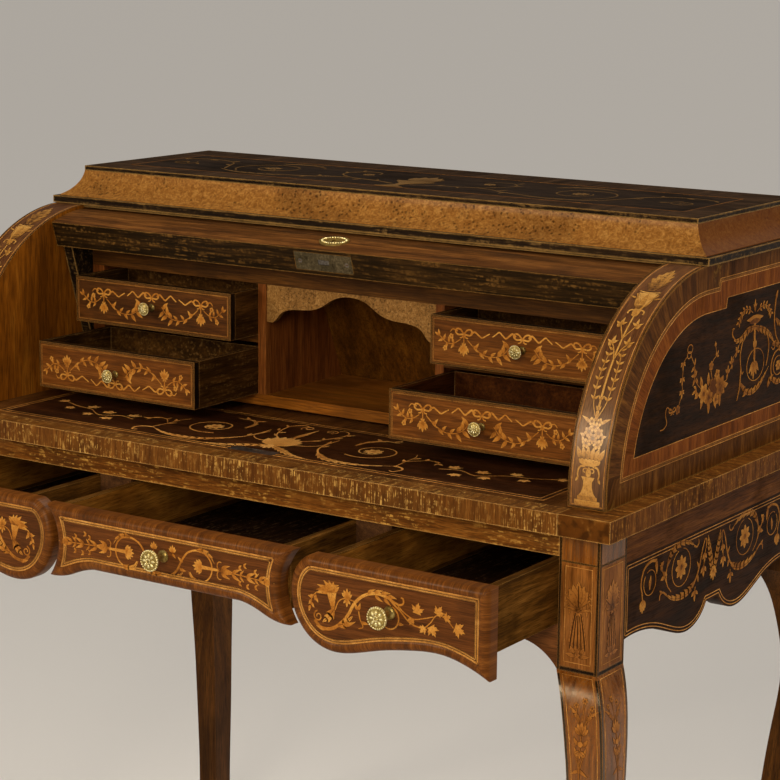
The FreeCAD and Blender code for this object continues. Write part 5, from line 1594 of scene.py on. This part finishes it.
plate_out = max((p for p in plate_faces if p.normal.y < 0), key=lambda p: p.area).normal
plate_middle = sum(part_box("lock_plate"), Vector()) / 2 + plate_out * PLATE_HALF
plate_seat = face_seat(plate_middle, (1, 0, 0), (0, plate_out.z, -plate_out.y))
inlay("plate_screws", [disc(x, 0, 3.0) for x in SCREWS], plate_seat, "fall", steel, 0.25)
slots = [strand([(x - 2.4, -0.8), (x + 2.4, 0.8)], 0.8, steps=1) for x in SCREWS]
inlay("plate_slots", slots, plate_seat, "fall", ebony, 0.3)
low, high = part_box("keyhole_escutcheon")
middle = (low + high) / 2
pivot = Vector((0, TABLE_FRONT + PIVOT[0] / 1000, TABLE_TOP + PIVOT[1] / 1000))
out = Vector((0, middle.y - pivot.y, middle.z - pivot.z)).normalized()
HOLE_RADIUS, OVAL = 0.2332, 0.62  # the escutcheon's face from the pins in metres, and its height to its width
hole_seat = face_seat(Vector((middle.x, pivot.y, pivot.z)) + out * HOLE_RADIUS, (1, 0, 0), (0, out.z, -out.y))
corners, sides = bead_ring(30, 17.5, 1.5)
laid("escutcheon_beads", [hole_seat(x, y * OVAL, h) for x, y, h in corners], sides, "fall", brass)

RAIL_RADIUS, RAIL_EDGE = 232.0, math.radians(70.6)  # the rail's outer face and its leading edge, round the pins


def rail_seat(x, y, h):
    """On the rail's rounded outer face: x from the middle and y along its curve from the leading edge."""
    a, r = RAIL_EDGE + y / RAIL_RADIUS, (RAIL_RADIUS + h) / 1000
    return Vector((x / 1000, pivot.y - r * math.cos(a), pivot.z + r * math.sin(a)))


RAIL_HALF = 448.5
rail_face = strip([(y, -RAIL_HALF, RAIL_HALF) for y in np.linspace(0.4, 43.6, 9)])
inlay("rail_veneer", [rail_face], rail_seat, "fall", fall_veneer, 0.08)

# ---------------------------------------------------------------------------------------------------------------------
# Nest. Shelves and uprights of walnut slid into the case: four small drawers round a pigeonhole with a shaped arch of
# burr in its head.
# ---------------------------------------------------------------------------------------------------------------------
nest_walnut = wood("nest_walnut", (50, 27, 8), (72, 41, 12), (94, 57, 20), (30, 16, 5), (4, 60, 60))
clad(nest_walnut, "nest_top", "nest_frieze", "drawer_dividers")
base_walnut = wood("base_walnut", (92, 50, 11), (124, 70, 17), (150, 92, 29), (54, 29, 7), (4, 60, 60))
clad(base_walnut, "nest_base")
upright_walnut = wood("upright_walnut", (76, 38, 12), (106, 56, 20), (134, 78, 32), (44, 22, 8), (60, 60, 4))
clad(upright_walnut, "nest_uprights")
back_walnut = wood("back_walnut", (54, 29, 4), (78, 43, 7), (100, 60, 14), (32, 17, 3), (40, 40, 5))
clad(back_walnut, "nest_back")
arch_burr = wood(
    "arch_burr", (92, 60, 24), (132, 92, 44), (166, 124, 70), (60, 38, 16), (140, 140, 140), twist=2.0, eyes=260.0
)
clad(arch_burr, "pigeonhole_arch")

# ---------------------------------------------------------------------------------------------------------------------
# Small drawers. Thin boxes behind flat ebonised fronts, each veneered inside a narrow edge. A string of slanting ticks
# in a groove frames the veneer, and ribbons tied in bows hold swags of leaves on both sides of a small brass knob.
# ---------------------------------------------------------------------------------------------------------------------


def wave(x, y, length, height, waves, wide, tone=(0.5, 0.7)):
    """A ribbon that flutters along from x, y."""
    count = int(waves * 4)
    spots = [(x + length * i / count, y + height * math.sin(i * math.pi / 2)) for i in range(count + 1)]
    return strand(spots, wide, wide * 0.5, tone, steps=4)


small_veneer = wood(
    "small_veneer", (74, 39, 11), (102, 56, 17), (126, 75, 28), (46, 24, 8), (5, 80, 80), slot="rosewood"
)
# A darker copy of the small fronts' veneer, for the upper left front alone: a painted shadow of the fall over it.
fall_shadow_veneer = wood("fall_shadow_veneer", (52, 27, 8), (76, 41, 13), (98, 56, 20), (32, 17, 6), (5, 80, 80), slot="rosewood")
small_box = wood(
    "small_box", (40, 23, 7), (60, 36, 11), (86, 54, 20), (22, 13, 5), (50, 5, 50), rough=0.55, coat=0.0,
    worn=(158, 116, 66), wear=0.8, edge=0.0024, fleck=(104, 74, 38), shine=0.03,
)
red_box = wood(
    "red_box", (42, 18, 5), (60, 28, 8), (80, 42, 14), (24, 11, 4), (50, 5, 50), rough=0.5, coat=0.0,
    worn=(158, 116, 66), wear=0.8, edge=0.0024, shine=0.03,
)
ribbons_and_swags = [
    *bow(0, 13, 12),
    *pair([wave(9, 15, 33, 3.4, 1.9, 2.6)]),
    *pair(
        [
            *bow(83, 11, 12),
            wave(73, 12, -27, 3.0, 1.4, 2.4),
            strand([(92, 14), (99, 16), (103, 12)], 1.6, 1.0),
            strand([(83, 9), (83, -6)], 1.6, 1.2),
            *fan(83, -5, 270, 12, 130, 5),
            *fan(83, -6, 90, 7, 150, 4),
            leaf(83, -6, 200, 9, 4, 0.3),
            leaf(83, -6, 340, 9, 4, -0.3),
            strand([(78, 4), (66, -6), (52, -13), (38, -13), (26, -8), (17, 2)], 1.2, 0.8),
            *[
                leaf(x, y, a, s, s * 0.42, b)
                for x, y, a, s, b in (
                    (70, -2, 215, 10, 0.2), (66, -6, 110, 9, 0.2), (60, -9, 240, 10, -0.2), (55, -12, 120, 9, 0.2),
                    (48, -13, 215, 10, 0.2), (44, -13, 130, 9, 0.2), (36, -13, 215, 12, 0.2), (34, -12, 115, 13, 0.2),
                    (27, -9, 200, 13, 0.2), (26, -8, 80, 13, 0.2), (20, -3, 240, 12, -0.2), (19, -1, 60, 13, -0.2),
                )
            ],
            strand([(88, 4), (98, -2), (108, -2), (118, 6)], 1.1, 0.8),
            *[
                leaf(x, y, a, 8, 3.4, 0.1)
                for x, y, a in (
                    (97, -2, 60), (97, -2, 300), (104, -2, 80), (106, -2, 300), (112, 1, 100), (113, 2, 330),
                    (118, 6, 70), (118, 6, 20),
                )
            ],
            *flower(101, 7, 3.4, 5),
            *flower(110, -9, 3.4, 5),
        ]
    ),
]
EDGING, ROPE_IN = 2.6, 4.6  # from the edge of a front to its veneer and to its string
for corner in ("upper_left", "upper_right", "lower_left", "lower_right"):
    body = f"{corner}_small_drawer"
    clad(ebony, f"{corner}_small_front")
    clad(red_box if corner == "lower_right" else small_box, f"{corner}_small_box")
    low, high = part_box(f"{corner}_small_front")
    wide, tall = (high.x - low.x) * 500, (high.z - low.z) * 500
    seat = face_seat(((low.x + high.x) / 2, low.y, (low.z + high.z) / 2), (1, 0, 0), (0, 0, 1))
    x0, y0, x1, y1 = wide - 0.1, tall - 0.1, wide - EDGING, tall - EDGING
    edging = [(-x0, y1, x0, y0), (-x0, -y0, x0, -y1), (-x0, -y1, -x1, y1), (x1, -y1, x0, y1)]
    inlay(f"{corner}_small_edging", [panel(*e) for e in edging], seat, body, ebony, 0.1)
    # The upper left front takes the darker copy, a painted shadow cast by the fall.
    veneer = fall_shadow_veneer if corner == "upper_left" else small_veneer
    inlay(f"{corner}_small_field", [panel(-x1, -y1, x1, y1)], seat, body, veneer, 0.08)
    rope_line = fine(np.array(box_line(ROPE_IN - wide, ROPE_IN - tall, wide - ROPE_IN, tall - ROPE_IN)), 6)
    along_lines(
        f"{corner}_small_groove", [rope_line], stringing, {"Width": 1.9, "Height": 0.3}, seat, body, ebony, True
    )
    along_lines(
        f"{corner}_small_rope", [rope_line], rope, {"Pitch": 2.4, "Strand": 1.3, "Width": 1.7}, seat, body,
        dull_string, True,
    )
    inlay(f"{corner}_small_swags", moved(ribbons_and_swags, flip_y=corner == "lower_left"), seat, body, satinwood)
    knob(f"{corner}_small", 0.66, body)

# ---------------------------------------------------------------------------------------------------------------------
# Studio. A pale floor, four soft lamps and a wide one overhead, and a camera where the photograph's stood, with the
# same field of view.
# ---------------------------------------------------------------------------------------------------------------------
floor_mesh = bpy.data.meshes.new("floor")
FLOOR_HALF = 600  # metres
floor_corners = box_line(-FLOOR_HALF, -FLOOR_HALF, FLOOR_HALF, FLOOR_HALF)
floor_mesh.from_pydata([(x, y, 0) for x, y in floor_corners], [], [(0, 1, 2, 3)])
floor = bpy.data.objects.new("floor", floor_mesh)
bpy.context.collection.objects.link(floor)
floor_paint = bpy.data.materials.new("floor_paint")
floor_paint.use_nodes = True
floor_paint.node_tree.nodes["Principled BSDF"].inputs["Base Color"].default_value = dye(222, 217, 210)
floor_paint.node_tree.nodes["Principled BSDF"].inputs["Roughness"].default_value = 0.85
floor_mesh.materials.append(floor_paint)

world = bpy.data.worlds.new("studio")
world.use_nodes = True
world.node_tree.nodes["Background"].inputs["Color"].default_value = dye(222, 216, 208)
world.node_tree.nodes["Background"].inputs["Strength"].default_value = 0.08
bpy.context.scene.world = world
for name, place, aim, wide, tall, power, spread in (
    ("left_lamp", (-1.4, -2.85, 1.9), (0.1, -0.15, 0.78), 0.8, 0.8, 7.5, 75),
    ("right_lamp", (1.5, -3.1, 2.5), (0, -0.1, 0.75), 1.5, 1.5, 11, 75),
    ("front_lamp", (1.0, -3.5, 1.3), (0.05, 0.0, 0.85), 0.9, 0.9, 4.5, 60),
    ("side_lamp", (2.9, 1.1, 2.1), (0.4, 0.05, 0.75), 1.3, 1.3, 4, 70),
):
    data = bpy.data.lights.new(name, "AREA")
    data.shape, data.size, data.size_y = "RECTANGLE", wide, tall
    data.energy, data.spread, data.color = power, math.radians(spread), (1.0, 0.9, 0.76)
    lamp = bpy.data.objects.new(name, data)
    lamp.location = place
    lamp.rotation_euler = (Vector(aim) - Vector(place)).to_track_quat("-Z", "Y").to_euler()
    bpy.context.collection.objects.link(lamp)

sky = bpy.data.lights.new("sky_lamp", "SUN")
sky.energy, sky.angle, sky.color = 1.9, math.radians(40), (1.0, 0.97, 0.93)
sky_lamp = bpy.data.objects.new("sky_lamp", sky)
sky_lamp.rotation_euler = Vector((-0.2, -0.45, -0.87)).to_track_quat("-Z", "Y").to_euler()
bpy.context.collection.objects.link(sky_lamp)

lens = bpy.data.cameras.new("camera")
lens.lens, lens.sensor_width = 107.65, 36.0
camera = bpy.data.objects.new("camera", lens)
camera.location = (1.68406, -2.41542, 1.40978)
camera.rotation_euler = tuple(math.radians(a) for a in (78.5919, -0.5879, 33.7704))
bpy.context.collection.objects.link(camera)
bpy.context.scene.camera = camera
bpy.context.scene.view_settings.view_transform = "Standard"
